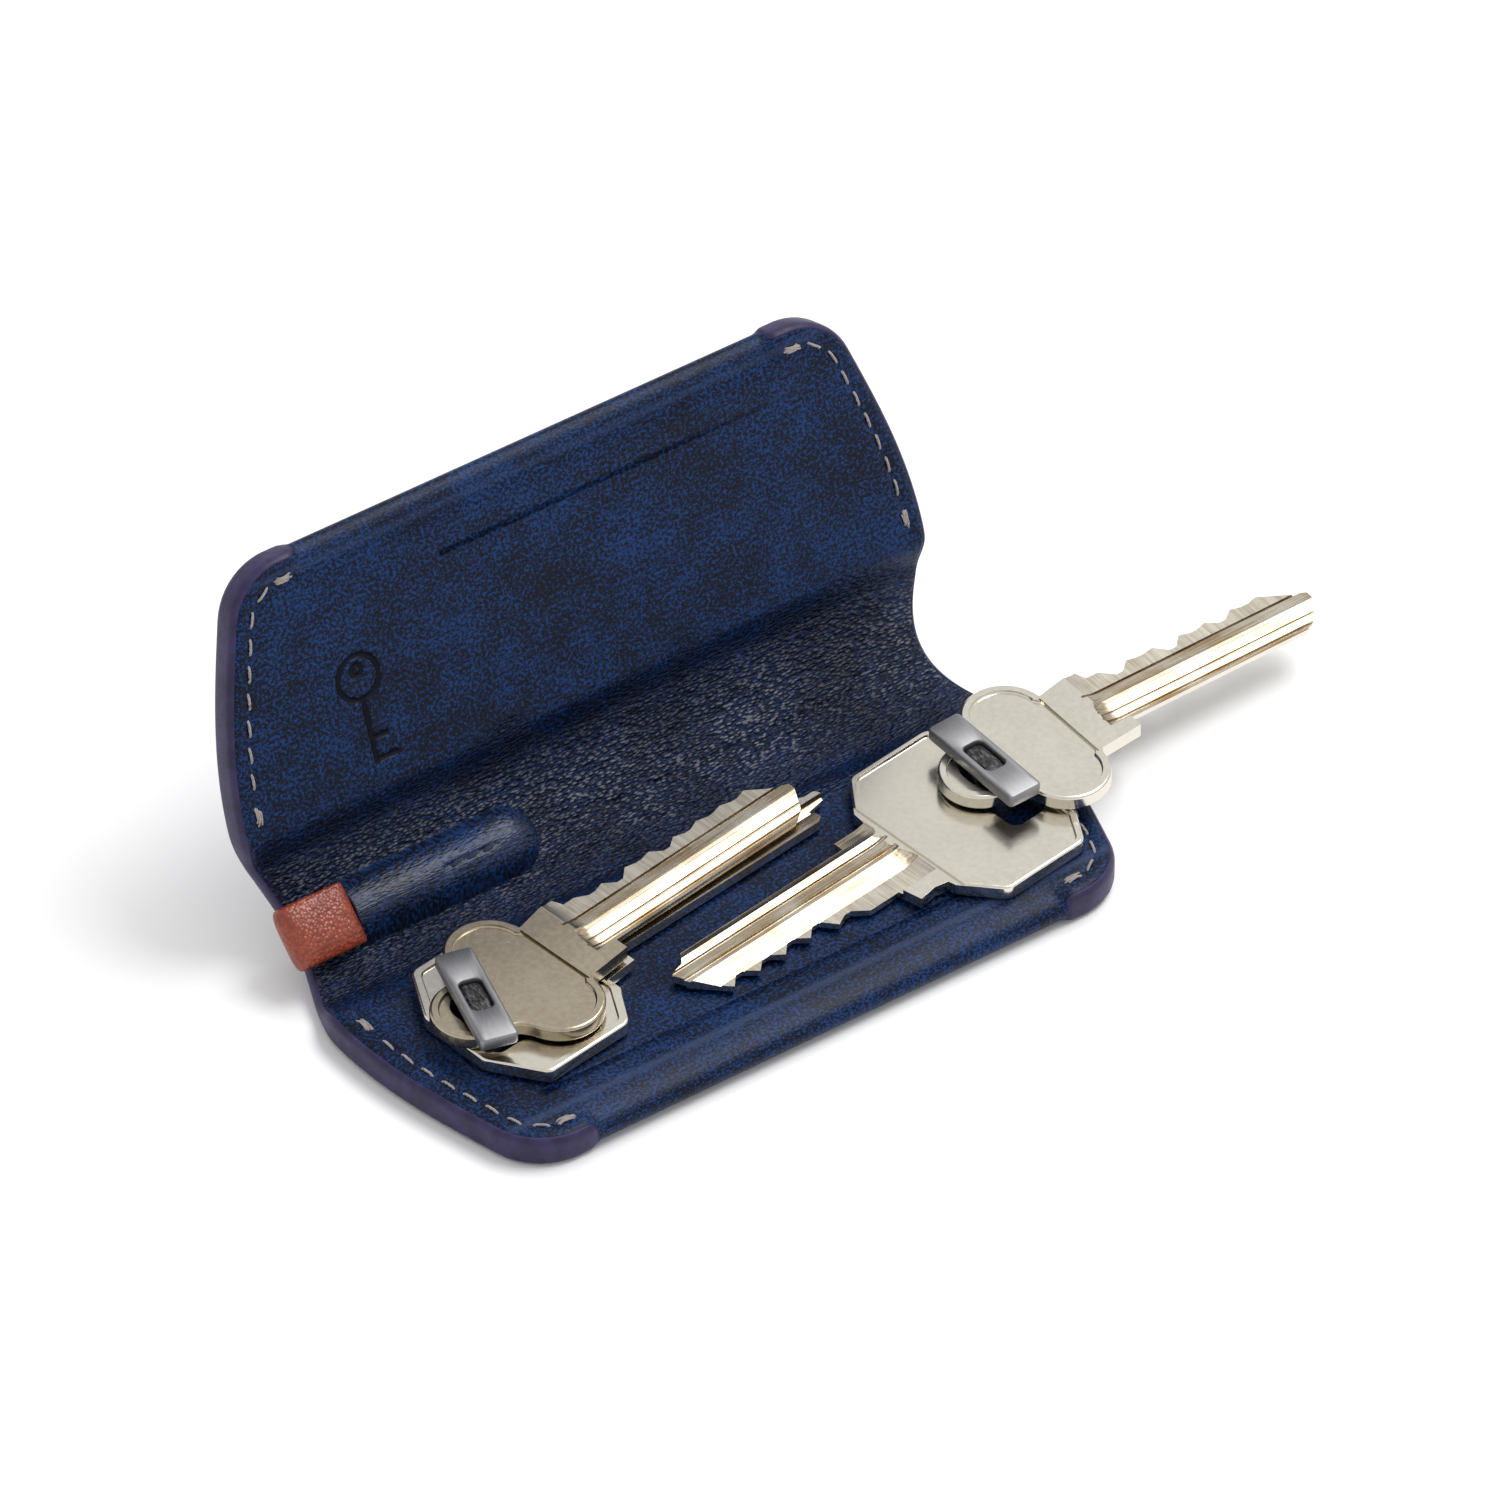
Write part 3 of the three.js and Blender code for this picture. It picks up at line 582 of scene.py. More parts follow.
        def surface(upper):
            """Adds the rings and the inner grid of one face, and returns their vertex numbers."""
            rings = []
            for inset in self.rings:
                ring = []
                for station in range(stations):
                    x, t, out_x, out_t = self.ring_point(inset, station)
                    pull = self.pull(station, inset, upper)
                    bulge = wrinkles(x, self.to_flat(t)) * smoothstep(inset, 0, 1.5 * MM)
                    if upper:
                        z = self.top(x, t, inset) - pull + bulge
                    else:
                        z = pull - 0.5 * bulge + 0.35 * MM * self.channel(x, t, inset)
                    ring.append(add(x, t, z, (x + out_x * pull, t + out_t * pull)))
                rings.append(ring)
            grid = []
            for row, t in enumerate(self.side):
                reach = half_width(t) - CORNER_RADIUS
                line = [rings[-1][row]]
                for share in self.columns[1:-1]:
                    x = lerp(reach, -reach, share)
                    z = self.top(x, t, half_width(t) - abs(x)) if upper else 0.0
                    z += wrinkles(x, self.to_flat(t)) * (1 if upper else -0.5)
                    line.append(add(x, t, z, (x, t)))
                line.append(rings[-1][stations - 1 - row])
                grid.append(line)
            return rings, grid

        def quad(a, b, c, d):
            corners = [a, b, c, d]
            kept = [v for i, v in enumerate(corners) if v != corners[i - 1]]
            if len(kept) > 2:
                faces.append(kept)

        ends, walls, inner_faces = [], [], 0
        for upper in (True, False):
            rings, grid = surface(upper)
            middle = grid[0]
            for outer, inner in zip(rings, rings[1:]):
                for i in range(stations - 1):
                    quad(outer[i], outer[i + 1], inner[i + 1], inner[i])
            first = rows + self.arc_steps - 1
            grid.append(rings[-1][first:first + len(self.columns)])
            for near, far in zip(grid, grid[1:]):
                for i in range(len(self.columns) - 1):
                    quad(near[i], far[i], far[i + 1], near[i + 1])
            ends.append([ring[0] for ring in rings[:-1]] + middle + [ring[-1] for ring in rings[-2::-1]])
            walls.append(rings[0])
            inner_faces = inner_faces or len(faces)
        for i in range(stations - 1):
            quad(walls[0][i], walls[1][i], walls[1][i + 1], walls[0][i + 1])
        for i in range(len(ends[0]) - 1):
            quad(ends[0][i], ends[0][i + 1], ends[1][i + 1], ends[1][i])
        obj = piece(f"{self.body}_cover_leather", verts, faces, [LEATHER, PRESSED_LEATHER], uvs=uvs)
        if self.marked:
            for face in obj.data.polygons[:inner_faces]:
                x, t = (sum(uvs[v][k] for v in face.vertices) / len(face.vertices) for k in (0, 1))
                face.material_index = int(pressed_mark(x, self.to_flat(t)) > MARK_EDGE)
        tidy_mesh(obj)
        return obj

    def build_edge_paint(self, name, side):
        """The painted band round one end: wall and lips, a little proud of the leather."""
        last = len(self.side) + self.arc_steps - 1
        while self.front_share(last) < 0.6:
            last += 1
        lip = [0.6, 0.42, 0.26, 0.13, 0.05, 0.0]        # millimetres in from the outline
        rings = []
        for station in range(last + 1):
            _, _, out_x, out_t = self.ring_point(0.0, station)
            skins = []
            for proud in (PAINT_PROUD, -PAINT_DEPTH):
                skin = []
                for upper in (True, False):
                    for inset in (lip if upper else lip[::-1]):
                        x, t, _, _ = self.ring_point(inset * MM, station)
                        pull = self.pull(station, inset * MM, upper)
                        lift = proud * (0.15 if inset > 0.5 else 1.0)
                        z = thickness(t) - pull + lift if upper else max(pull - lift, 0.02 * MM)
                        shift = lift * (1 - inset / lip[0])
                        skin.append(place(side * (x + out_x * shift), self.to_flat(t + out_t * shift), z))
                skins.append(skin)
            rings.append(skins[0] + skins[1][::-1])
        obj = piece(name, *loft(rings), EDGE_PAINT)
        tidy_mesh(obj)
        return obj

    def blend(self, obj):
        """Bakes the piece's placement into its mesh."""
        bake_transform(obj)


# ---- Stitching ----
STITCH_PITCH = 3.3 * MM
STITCH_LENGTH = 2.3 * MM
THREAD_RADIUS, TACK_RADIUS = 0.17 * MM, 0.12 * MM
THREAD_SIDES = 8
TACK_LENGTH, TACK_THREADS, TACK_HALF = 3.0 * MM, 7, 0.36
THREAD_LEVELS = {True: (0.04 * MM, -0.35 * MM), False: (-0.26 * MM, -0.75 * MM)}    # inner, outer face


def bent_thread(points, radius):
    """A tube with closed, narrowed ends along the points."""
    rings = []
    for i, point in enumerate(points):
        ahead, behind = points[min(i + 1, len(points) - 1)], points[max(i - 1, 0)]
        along = (ahead - behind).normalized()
        across = along.cross(Vector((0.13, 0.29, 0.95))).normalized()
        up = across.cross(along)
        size = radius * (0.55 if i in (0, len(points) - 1) else 1.0)
        angles = [2 * math.pi * k / THREAD_SIDES for k in range(THREAD_SIDES)]
        rings.append([point + (across * math.cos(a) + up * math.sin(a)) * size for a in angles])
    return loft(rings)


def stitch_row():
    """Points along a stitched row, from the front edge round the corner to the spine."""
    share = 1 - THREAD_INSET / CORNER_RADIUS
    row = [(CORNER_CENTRE_X - 1.8 * MM, THREAD_INSET)]
    for i in range(24, -1, -1):
        dx, dt = corner_offset(i / 24)
        row.append((CORNER_CENTRE_X + dx * share, CORNER_RADIUS + dt * share))
    side = [CORNER_RADIUS + 0.6 * MM * k for k in range(1, 39)]
    return row + [(half_width(t) - THREAD_INSET, t) for t in side]


ROW = stitch_row()
ROW_LENGTH = sum(math.dist(a, b) for a, b in zip(ROW, ROW[1:]))


def row_point(s):
    """(x, t, along x, along t) at distance s along a stitched row."""
    for (x0, t0), (x1, t1) in zip(ROW, ROW[1:]):
        length = math.hypot(x1 - x0, t1 - t0)
        if s <= length:
            break
        s -= length
    f = min(1.0, s / length)
    return lerp(x0, x1, f), lerp(t0, t1, f), (x1 - x0) / length, (t1 - t0) / length


def thread_on_cover(half, side, ends, crest, dip, upper, radius=THREAD_RADIUS):
    """A stitch laid from one point of the cover to another, arched, with its ends in the leather."""
    (x0, t0), (x1, t1) = ends
    points = []
    for i in range(9):
        f = i / 8
        x, t = lerp(x0, x1, f), lerp(t0, t1, f)
        arch = lerp(dip, crest, min(1.0, 1.35 * math.sin(math.pi * f)) ** 0.8)
        z = thickness(t) + arch if upper else -arch
        points.append(place(side * x, half.to_flat(t), z))
    return bent_thread(points, radius)


def build_stitching(half, side_name, side, rng):
    """A row of slanted stitches round the corner with a bar tack at each end, on both faces."""
    parts = []
    for upper in (True, False):
        crest, dip = THREAD_LEVELS[upper]
        s = TACK_LENGTH + 0.5 * MM
        while s + STITCH_LENGTH < ROW_LENGTH - TACK_LENGTH + 0.4 * MM:
            x, t, along_x, along_t = row_point(s + STITCH_LENGTH / 2)
            slant = rng.uniform(0.05, 0.14) * (1 if upper else -1)
            dx, dt = along_x - slant * along_t, along_t + slant * along_x
            reach = STITCH_LENGTH / 2 * rng.uniform(0.95, 1.05)
            ends = (x - dx * reach, t - dt * reach), (x + dx * reach, t + dt * reach)
            parts.append(thread_on_cover(half, side, ends, crest, dip, upper))
            s += STITCH_PITCH
        for tack_start in (0.0, ROW_LENGTH - TACK_LENGTH):
            for k in range(TACK_THREADS):
                x0, t0, ax, at = row_point(tack_start + rng.uniform(0, 0.7) * MM)
                x1, t1, bx, bt = row_point(tack_start + TACK_LENGTH - rng.uniform(0, 0.7) * MM)
                a = lerp(-TACK_HALF, TACK_HALF, k * 3 % 7 / 6) * MM
                b = lerp(-TACK_HALF, TACK_HALF, (k * 5 + 2) % 7 / 6) * MM
                ends = (x0 - at * a, t0 + ax * a), (x1 - bt * b, t1 + bx * b)
                lift = crest + 0.03 * (k % 3) * MM if upper else crest
                parts.append(thread_on_cover(half, side, ends, lift, dip, upper, TACK_RADIUS))
    obj = piece(f"{half.body}_{side_name}_stitches", *join_parts(parts), TAUPE_THREAD)
    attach(obj, half.body)
    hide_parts(f"{half.body}_{side_name}_stitching")


def build_cover():
    rng = random.Random(7)
    base = HalfCover("base", lambda t: t, MID_T, False)
    lid = HalfCover("lid", lambda t: WHOLE_T - t, WHOLE_T - MID_T, True)
    spine_nodes = {"base": "spine_lining", "lid": "spine_outer_leather"}
    for half in (base, lid):
        cover = half.build()
        half.blend(cover)
        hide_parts(f"{half.body}_outer_leather", f"{half.body}_lining", spine_nodes[half.body])
        for side_name, side in (("left", -1), ("right", 1)):
            paint = half.build_edge_paint(f"{half.body}_{side_name}_edge_paint", side)
            half.blend(paint)
            build_stitching(half, side_name, side, rng)
    return base, lid


# ---- Tunnel and pull tab ----
TUNNEL_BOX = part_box("tab_tunnel")
TUNNEL_MOUTH = TUNNEL_BOX[0].x
TUNNEL_END = TUNNEL_BOX[1].x
TUNNEL_T = HALF_SPAN + SPINE_WIDTH / 2 - 0.2 * MM
TUNNEL_HALF = 4.3 * MM
TUNNEL_HEIGHT = 3.9 * MM
TUNNEL_SKIRT = 0.7 * MM
TUNNEL_WALL = 1.0 * MM
POCKET_DEPTH = 12 * MM


def tunnel_height(x, t):
    """Height of the rounded ridge over the spine leather, with a soft skirt round it."""
    centre_x = TUNNEL_END - TUNNEL_HALF
    d = math.hypot(max(0.0, x - centre_x), t - TUNNEL_T)
    share = min(1.0, d / TUNNEL_HALF)
    dome = TUNNEL_HEIGHT * max(0.0, 1 - share ** 2.1) ** 0.62
    skirt = 0.2 * MM * (1 - smoothstep(d, TUNNEL_HALF - 0.6 * MM, TUNNEL_HALF + TUNNEL_SKIRT))
    end_fall = 0.7 * MM * smoothstep(x, centre_x - 9 * MM, TUNNEL_END)
    seam = 0.22 * MM * bell(t, TUNNEL_T, 0.5 * MM)
    seam *= smoothstep(x, TUNNEL_MOUTH + 12 * MM, TUNNEL_MOUTH + 13.5 * MM)
    seam *= 1 - smoothstep(x, TUNNEL_MOUTH + 19.5 * MM, TUNNEL_MOUTH + 21 * MM)
    grain = noise.noise(Vector((x * 500, t * 500, 4.4))) * 0.05 * MM
    ridge = max(dome - end_fall * (dome / TUNNEL_HEIGHT), 0.0) * 0.93
    return ridge + skirt - seam + grain * smoothstep(dome, 0, 1 * MM)


def tunnel_hollow(x, t):
    """1 inside the pocket that the webbing slides in, 0 in the solid rest."""
    across = 1 - smoothstep(abs(t - TUNNEL_T), 3.0 * MM, 3.4 * MM)
    return across * (1 - smoothstep(x, TUNNEL_MOUTH + POCKET_DEPTH - 1 * MM, TUNNEL_MOUTH + POCKET_DEPTH))


def rim(lines):
    """The outermost points of a grid, all the way round."""
    ends = [line[-1] for line in lines[1:]] + lines[-1][-2::-1] + [line[0] for line in lines[-2:0:-1]]
    return lines[0] + ends


def build_tunnel_half(name, half, t_far):
    """The part of the ridge on one side of the spine's middle, as one closed mesh."""
    columns = 120
    rows = 34
    skirt_x = TUNNEL_END + TUNNEL_SKIRT
    verts, uvs, top, low = [], [], [], []
    for i in range(columns + 1):
        x = lerp(TUNNEL_MOUTH, skirt_x, i / columns)
        top_line, low_line = [], []
        for j in range(rows + 1):
            t = lerp(MID_T, t_far, j / rows)
            rise = tunnel_height(x, t)
            inner = SOFT_THICKNESS + wrinkles(x, t)
            edge = smoothstep(rise, 0.0, 0.12 * MM)
            under = lerp(-0.35 * MM, rise - TUNNEL_WALL, tunnel_hollow(x, t))
            for line, z in ((top_line, inner + lerp(-0.25 * MM, rise, edge)), (low_line, inner + under)):
                line.append(len(verts))
                verts.append(place(x, t, min(z, inner + 5 * MM)))
                uvs.append((x, t))
        top.append(top_line)
        low.append(low_line)
    faces = []
    for a, b in zip(top, top[1:]):
        faces.extend([a[j], b[j], b[j + 1], a[j + 1]] for j in range(rows))
    for a, b in zip(low, low[1:]):
        faces.extend([a[j], a[j + 1], b[j + 1], b[j]] for j in range(rows))
    rim_top, rim_low = rim(top), rim(low)
    for i in range(len(rim_top)):
        j = (i + 1) % len(rim_top)
        faces.append([rim_top[i], rim_top[j], rim_low[j], rim_low[i]])
    obj = piece(name, verts, faces, TUNNEL_LEATHER, uvs=uvs)
    tidy_mesh(obj)
    half.blend(obj)
    return obj


def build_tunnel(base, lid):
    reach = TUNNEL_HALF + TUNNEL_SKIRT
    front = build_tunnel_half("tunnel_front_half", base, TUNNEL_T - reach)
    build_tunnel_half("tunnel_back_half", lid, TUNNEL_T + reach)
    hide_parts("tab_tunnel")
    parts = []
    for k in range(3):
        x = TUNNEL_MOUTH + (13.4 + 2.3 * k) * MM
        ends = (x, TUNNEL_T - 0.22 * MM), (x + 2.1 * MM, TUNNEL_T + 0.22 * MM)
        for shift in (-0.12, 0.14):
            points = []
            for i in range(9):
                px, pt = lerp(ends[0][0], ends[1][0], i / 8), lerp(ends[0][1], ends[1][1], i / 8)
                arch = lerp(-0.25, 0.13, min(1.0, 1.4 * math.sin(math.pi * i / 8))) * MM
                pt += shift * MM * math.sin(math.pi * i / 8)
                z = SOFT_THICKNESS + wrinkles(px, pt) + tunnel_height(px, pt) + arch
                points.append(place(px, pt, z))
            parts.append(bent_thread(points, THREAD_RADIUS))
    stitches = piece("tunnel_stitches", *join_parts(parts), NAVY_THREAD)
    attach(stitches, "spine")
    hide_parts("tunnel_stitching")


TAB_LENGTH, TAB_WIDTH, TAB_THICKNESS = 8.8 * MM, 7.8 * MM, 3.4 * MM
TAB_WALL, TAB_LOWEST = 1.45 * MM, 0.15 * MM
TAB_STEPS, TAB_SIDES = 12, 40


def build_pull_tab():
    """A strap of leather folded on itself at its outer end, its layers pressed together."""
    inner_x = TUNNEL_MOUTH - 0.3 * MM
    fold_x = inner_x - TAB_LENGTH + TAB_THICKNESS / 2
    low_z, high_z = TAB_LOWEST + TAB_WALL / 2, TAB_LOWEST + TAB_THICKNESS - TAB_WALL / 2
    turn = (high_z - low_z) / 2
    steps = TAB_STEPS
    path = [(lerp(inner_x, fold_x, i / steps), low_z, 0.0) for i in range(steps + 1)]
    for i in range(1, steps):
        angle = math.pi * i / steps
        x = fold_x - (turn + 0.35 * MM) * math.sin(angle)
        path.append((x, (low_z + high_z) / 2 - turn * math.cos(angle), angle))
    path += [(lerp(fold_x, inner_x, i / steps), high_z, math.pi) for i in range(steps + 1)]
    rings = []
    for x, z, angle in path:
        inward = 1 - smoothstep(inner_x - x, 0, 1.0 * MM)
        ring = []
        for k in range(TAB_SIDES):
            a = 2 * math.pi * k / TAB_SIDES
            c, s = math.cos(a), math.sin(a)
            across = squared(c, 0.42) * TAB_WIDTH / 2 * (1 - 0.02 * inward)
            out = squared(s, 0.8) * TAB_WALL / 2 * (1 - 0.35 * inward)
            crown = 0.38 * MM * (1 - (across / (TAB_WIDTH / 2)) ** 2) * (1 if s > 0 else 0) * (1 - inward)
            crown *= (1 - math.cos(angle)) / 2
            out += crown + 0.06 * MM * noise.noise(Vector((x * 300, across * 300, z * 300)))
            ring.append((x - out * math.sin(angle), across, z - out * math.cos(angle)))
        rings.append(ring)
    obj = piece("tan_pull_tab", *loft(rings), TAN)
    tidy_mesh(obj)
    local = Matrix.Translation(SPINE_FOLD) @ Matrix.Rotation(SPINE_TILT, 4, "X")
    obj.matrix_world = local @ Matrix.Translation((0, SPINE_WIDTH / 2, 0))
    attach(obj, "tab")
    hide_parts("pull_tab")


# ---- Keys ----
# In a key's own frame the cord is at the origin, the blade points to +X and the cuts face +Y.
# Outlines are in millimetres. Heights are from the middle of the key's thickness.
TREFOIL_END, TREFOIL_LOBE, TREFOIL_BLEND = (-0.6, 0.0, 5.1), (7.7, 6.0, 5.4), 3.2
TREFOIL_FRONT = 12.8
CORNER_STEPS = 6
HALF_THICK = KEY_HALF / MM
BLADE_EDGE_ROUND = 0.07
CLEAR = 3                       # beyond a key's faces on both sides
FACE_SLOPE = 0.1                # how far a sunk face's walls lean out


def arc(x, y, r, start, end, steps):
    angles = [lerp(start, end, i / steps) for i in range(steps + 1)]
    return [(x + r * math.cos(a), y + r * math.sin(a)) for a in angles]


def trefoil_bow(inset, front_angle):
    """The three-lobed bow, from the upper lobe's front round to the lower lobe's."""
    (ex, ey, er), (lx, ly, lr) = TREFOIL_END, TREFOIL_LOBE
    to_end, to_lobe = er + TREFOIL_BLEND, lr + TREFOIL_BLEND
    dx, dy = lx - ex, ly - ey
    d = math.hypot(dx, dy)
    along = (to_end ** 2 - to_lobe ** 2 + d * d) / (2 * d)
    off = math.sqrt(to_end ** 2 - along ** 2)
    fx, fy = ex + (along * dx - off * dy) / d, ey + (along * dy + off * dx) / d
    lobe_angle, end_angle = math.atan2(fy - ly, fx - lx), math.atan2(fy - ey, fx - ex)
    upper = arc(lx, ly, lr - inset, front_angle, lobe_angle, 30)
    upper += arc(fx, fy, TREFOIL_BLEND + inset, lobe_angle - math.pi, end_angle - math.pi, 10)[1:]
    upper += arc(ex, ey, er - inset, end_angle, math.pi, 20)[1:]
    return upper + [(x, -y) for x, y in upper[-2::-1]]


def fillet(corners, radius):
    """A closed polygon with rounded corners."""
    points = []
    for i, corner in enumerate(corners):
        c, a, b = Vector(corner), Vector(corners[i - 1]), Vector(corners[(i + 1) % len(corners)])
        to_a, to_b = (a - c).normalized(), (b - c).normalized()
        half = math.acos(max(-1, min(1, to_a.dot(to_b)))) / 2
        r = min(radius, 0.45 * math.tan(half) * min((a - c).length, (b - c).length))
        centre = c + (to_a + to_b).normalized() * (r / math.sin(half))
        first, last = c + to_a * (r / math.tan(half)) - centre, c + to_b * (r / math.tan(half)) - centre
        start = math.atan2(first.y, first.x)
        turn = (math.atan2(last.y, last.x) - start + math.pi) % (2 * math.pi) - math.pi
        points += arc(centre.x, centre.y, r, start, start + turn, CORNER_STEPS)
    return points


def octagon_corners(bow, inset=0.0):
    """A rectangular bow with its corners cut off, from its upper front round to its lower front."""
    rear, front, half, centre = bow["rear"] + inset, bow["front"] - inset, bow["half"] - inset, bow["centre"]
    (rx, ry), (fx, fy) = bow["rear_cut"], bow["front_cut"]
    k = inset * 0.42
    return [(front, centre + half - fy + k), (front - fx + k, centre + half), (rear + rx - k, centre + half),
            (rear, centre + half - ry + k), (rear, centre - half + ry - k), (rear + rx - k, centre - half),
            (front - fx + k, centre - half), (front, centre - half + fy - k)]


CUT_FLAT, CREST_SHARE = 0.5, 0.5


def bitting(first, pitch, top, depths):
    """A row of cuts: flats at the given depths below the blade's edge, with worn crests between."""
    row = [(first - pitch * 0.55, top)]
    for i, depth in enumerate(depths):
        x = first + i * pitch
        crest = min(depth, depths[min(i + 1, len(depths) - 1)]) * CREST_SHARE
        row += [(x - CUT_FLAT, top - depth), (x + CUT_FLAT, top - depth), (x + pitch / 2, top - crest)]
    return row


def blade_outline(key):
    """From the neck's plain side out along the blade, round the tip and back along the cuts."""
    cuts, stop_x = key["cuts"], key["stop_x"]
    return [(key["neck_x"], key["neck_low"]), (stop_x, key["stop_low"]), (stop_x, key["blade_low"]),
            *key["point"], *cuts[::-1], (stop_x + 0.2, cuts[0][1]), (stop_x - 0.4, key["stop_high"]),
            (stop_x - 3, key["stop_high"] - 0.4), (key["neck_x"], key["neck_high"])]


def key_outline(key):
    """Points with the radius that each edge is rounded to: full on the bow, slight on the blade."""
    if key["bow"] is None:
        bow = trefoil_bow(0.0, 0.07)
    else:
        corners = octagon_corners(key["bow"])
        bow = [corners[0], *fillet(corners, 1.6)[CORNER_STEPS:-CORNER_STEPS], corners[-1]]
    blade = blade_outline(key)
    return [(x, y, key["edge_round"]) for x, y in bow] + [(x, y, BLADE_EDGE_ROUND) for x, y in blade]


def offset_points(points, distances):
    """Moves each point of a closed outline inwards by its own distance."""
    area = sum(a[0] * b[1] - b[0] * a[1] for a, b in zip(points, points[1:] + points[:1]))
    sign = 1 if area > 0 else -1
    moved = []
    for i, (x, y) in enumerate(points):
        before, after = points[i - 1], points[(i + 1) % len(points)]
        a = Vector((x - before[0], y - before[1])).normalized()
        b = Vector((after[0] - x, after[1] - y)).normalized()
        na, nb = Vector((-a.y, a.x)) * sign, Vector((-b.y, b.x)) * sign
        mean = (na + nb).normalized()
        step = distances[i] / max(0.55, mean.dot(na))
        moved.append((x + mean.x * step, y + mean.y * step))
    return moved


def plate(outline):
    """The blank: the outline made thick, with its edges rounded over."""
    points = [(x, y) for x, y, _ in outline]
    rounds = [r for _, _, r in outline]
    rings = []
    for low in (True, False):
        for k in range(4):
            angle = math.pi / 2 * (k if low else 3 - k) / 3
            moved = offset_points(points, [r * (1 - math.sin(angle)) for r in rounds])
            heights = [HALF_THICK - r * (1 - math.cos(angle)) for r in rounds]
            rings.append([(x, y, -z if low else z) for (x, y), z in zip(moved, heights)])
    return loft(rings)


def level_loft(points, levels):
    """The outline drawn in by each (inset, height)."""
    count = len(points)
    return loft([[(x, y, z) for x, y in offset_points(points, [inset] * count)] for inset, z in levels])


def sunk_face(points, floor):
    """A cutter for the sunk face of a bow, with walls that lean outwards a little."""
    return level_loft(points, [(FACE_SLOPE * 1.6, floor), (FACE_SLOPE * 0.5, floor + FACE_SLOPE),
                               (0.0, floor + 2.2 * FACE_SLOPE), (-0.05, 2.0)])


def through_hole(points):
    """A cutter for a hole with a chamfer at both faces."""
    half = HALF_THICK
    return level_loft(points, [(-0.2, -2), (-0.2, -half), (0, -half + 0.2),
                               (0, half - 0.2), (-0.2, half), (-0.2, 2)])


def rounded_rectangle(x, y, length, width, radius):
    a, b = length / 2 - radius, width / 2 - radius
    points = []
    for k, (sx, sy) in enumerate(((1, 1), (-1, 1), (-1, -1), (1, -1))):
        start = k * math.pi / 2
        points += arc(x + sx * a, y + sy * b, radius, start, start + math.pi / 2, CORNER_STEPS)
    return points


KEY_MERGE = 0.0001              # millimetres
KEY_BEVEL, KEY_BEVEL_ANGLE = 0.05 * MM, math.radians(38)
RUN_OUT = [(0.0, 1.4), (0.5, 0.62), (1.1, 0.3), (1.9, 0.08), (2.8, 0.0)]


def groove_cutter(profile, start, end, top):
    """Takes everything above the blade's cross-section, running out in a mill's curve at the neck."""
    sign = 1 if top else -1
    rings = []
    for x, lift in [(start + along, rise) for along, rise in RUN_OUT] + [(end, 0.0)]:
        ring = [(x, y, sign * (z + lift)) for y, z in profile]
        rings.append(ring + [(x, profile[-1][0], sign * 4), (x, profile[0][0], sign * 4)])
    return loft(rings)


def apply_modifiers(obj):
    """Bakes an object's modifiers into its mesh."""
    graph = bpy.context.evaluated_depsgraph_get()
    mesh = bpy.data.meshes.new_from_object(obj.evaluated_get(graph))
    old = obj.data
    obj.modifiers.clear()
    obj.data = mesh
    bpy.data.meshes.remove(old)


def carve(obj, cutters, material):
    """Cuts solids away one after the other. The cut faces get the given material."""
    for verts, faces in cutters:
        tool = piece("cutter", verts, faces, material, smooth=False)
        tidy_mesh(tool, KEY_MERGE)
        cut = obj.modifiers.new("cut", "BOOLEAN")
        cut.operation, cut.solver, cut.object = "DIFFERENCE", "EXACT", tool
        cut.material_mode = "TRANSFER"
        apply_modifiers(obj)
        bpy.data.objects.remove(tool)


def face_cutters(key):
    """The sunk faces of the bow, and the slit in the upper one of a trefoil bow."""
    rim_width, floor = key["rim"], HALF_THICK - key["sunk"]
    if key["bow"] is None:
        face = trefoil_bow(rim_width, 0.0)
        face = [(TREFOIL_FRONT, face[-1][1] + 0.9), (TREFOIL_FRONT, face[0][1] - 0.9)] + face
    else:
        front = key["bow"]["front"] - 0.2
        face = [(min(x, front), y) for x, y in fillet(octagon_corners(key["bow"], rim_width), 1.3)]
    verts, faces = sunk_face(face, floor)
    cutters = [(verts, faces), ([(x, y, -z) for x, y, z in verts], faces)]
    if key["bow"] is None:
        reach, back = face[2][1] - 0.2, TREFOIL_FRONT - 0.3
        slit = [(back, -reach), (TREFOIL_FRONT, -reach), (TREFOIL_FRONT, reach), (back, reach)]
        cutters.append(loft([[(x, y, z) for x, y in slit] for z in (floor - 0.3, CLEAR)]))
    return cutters


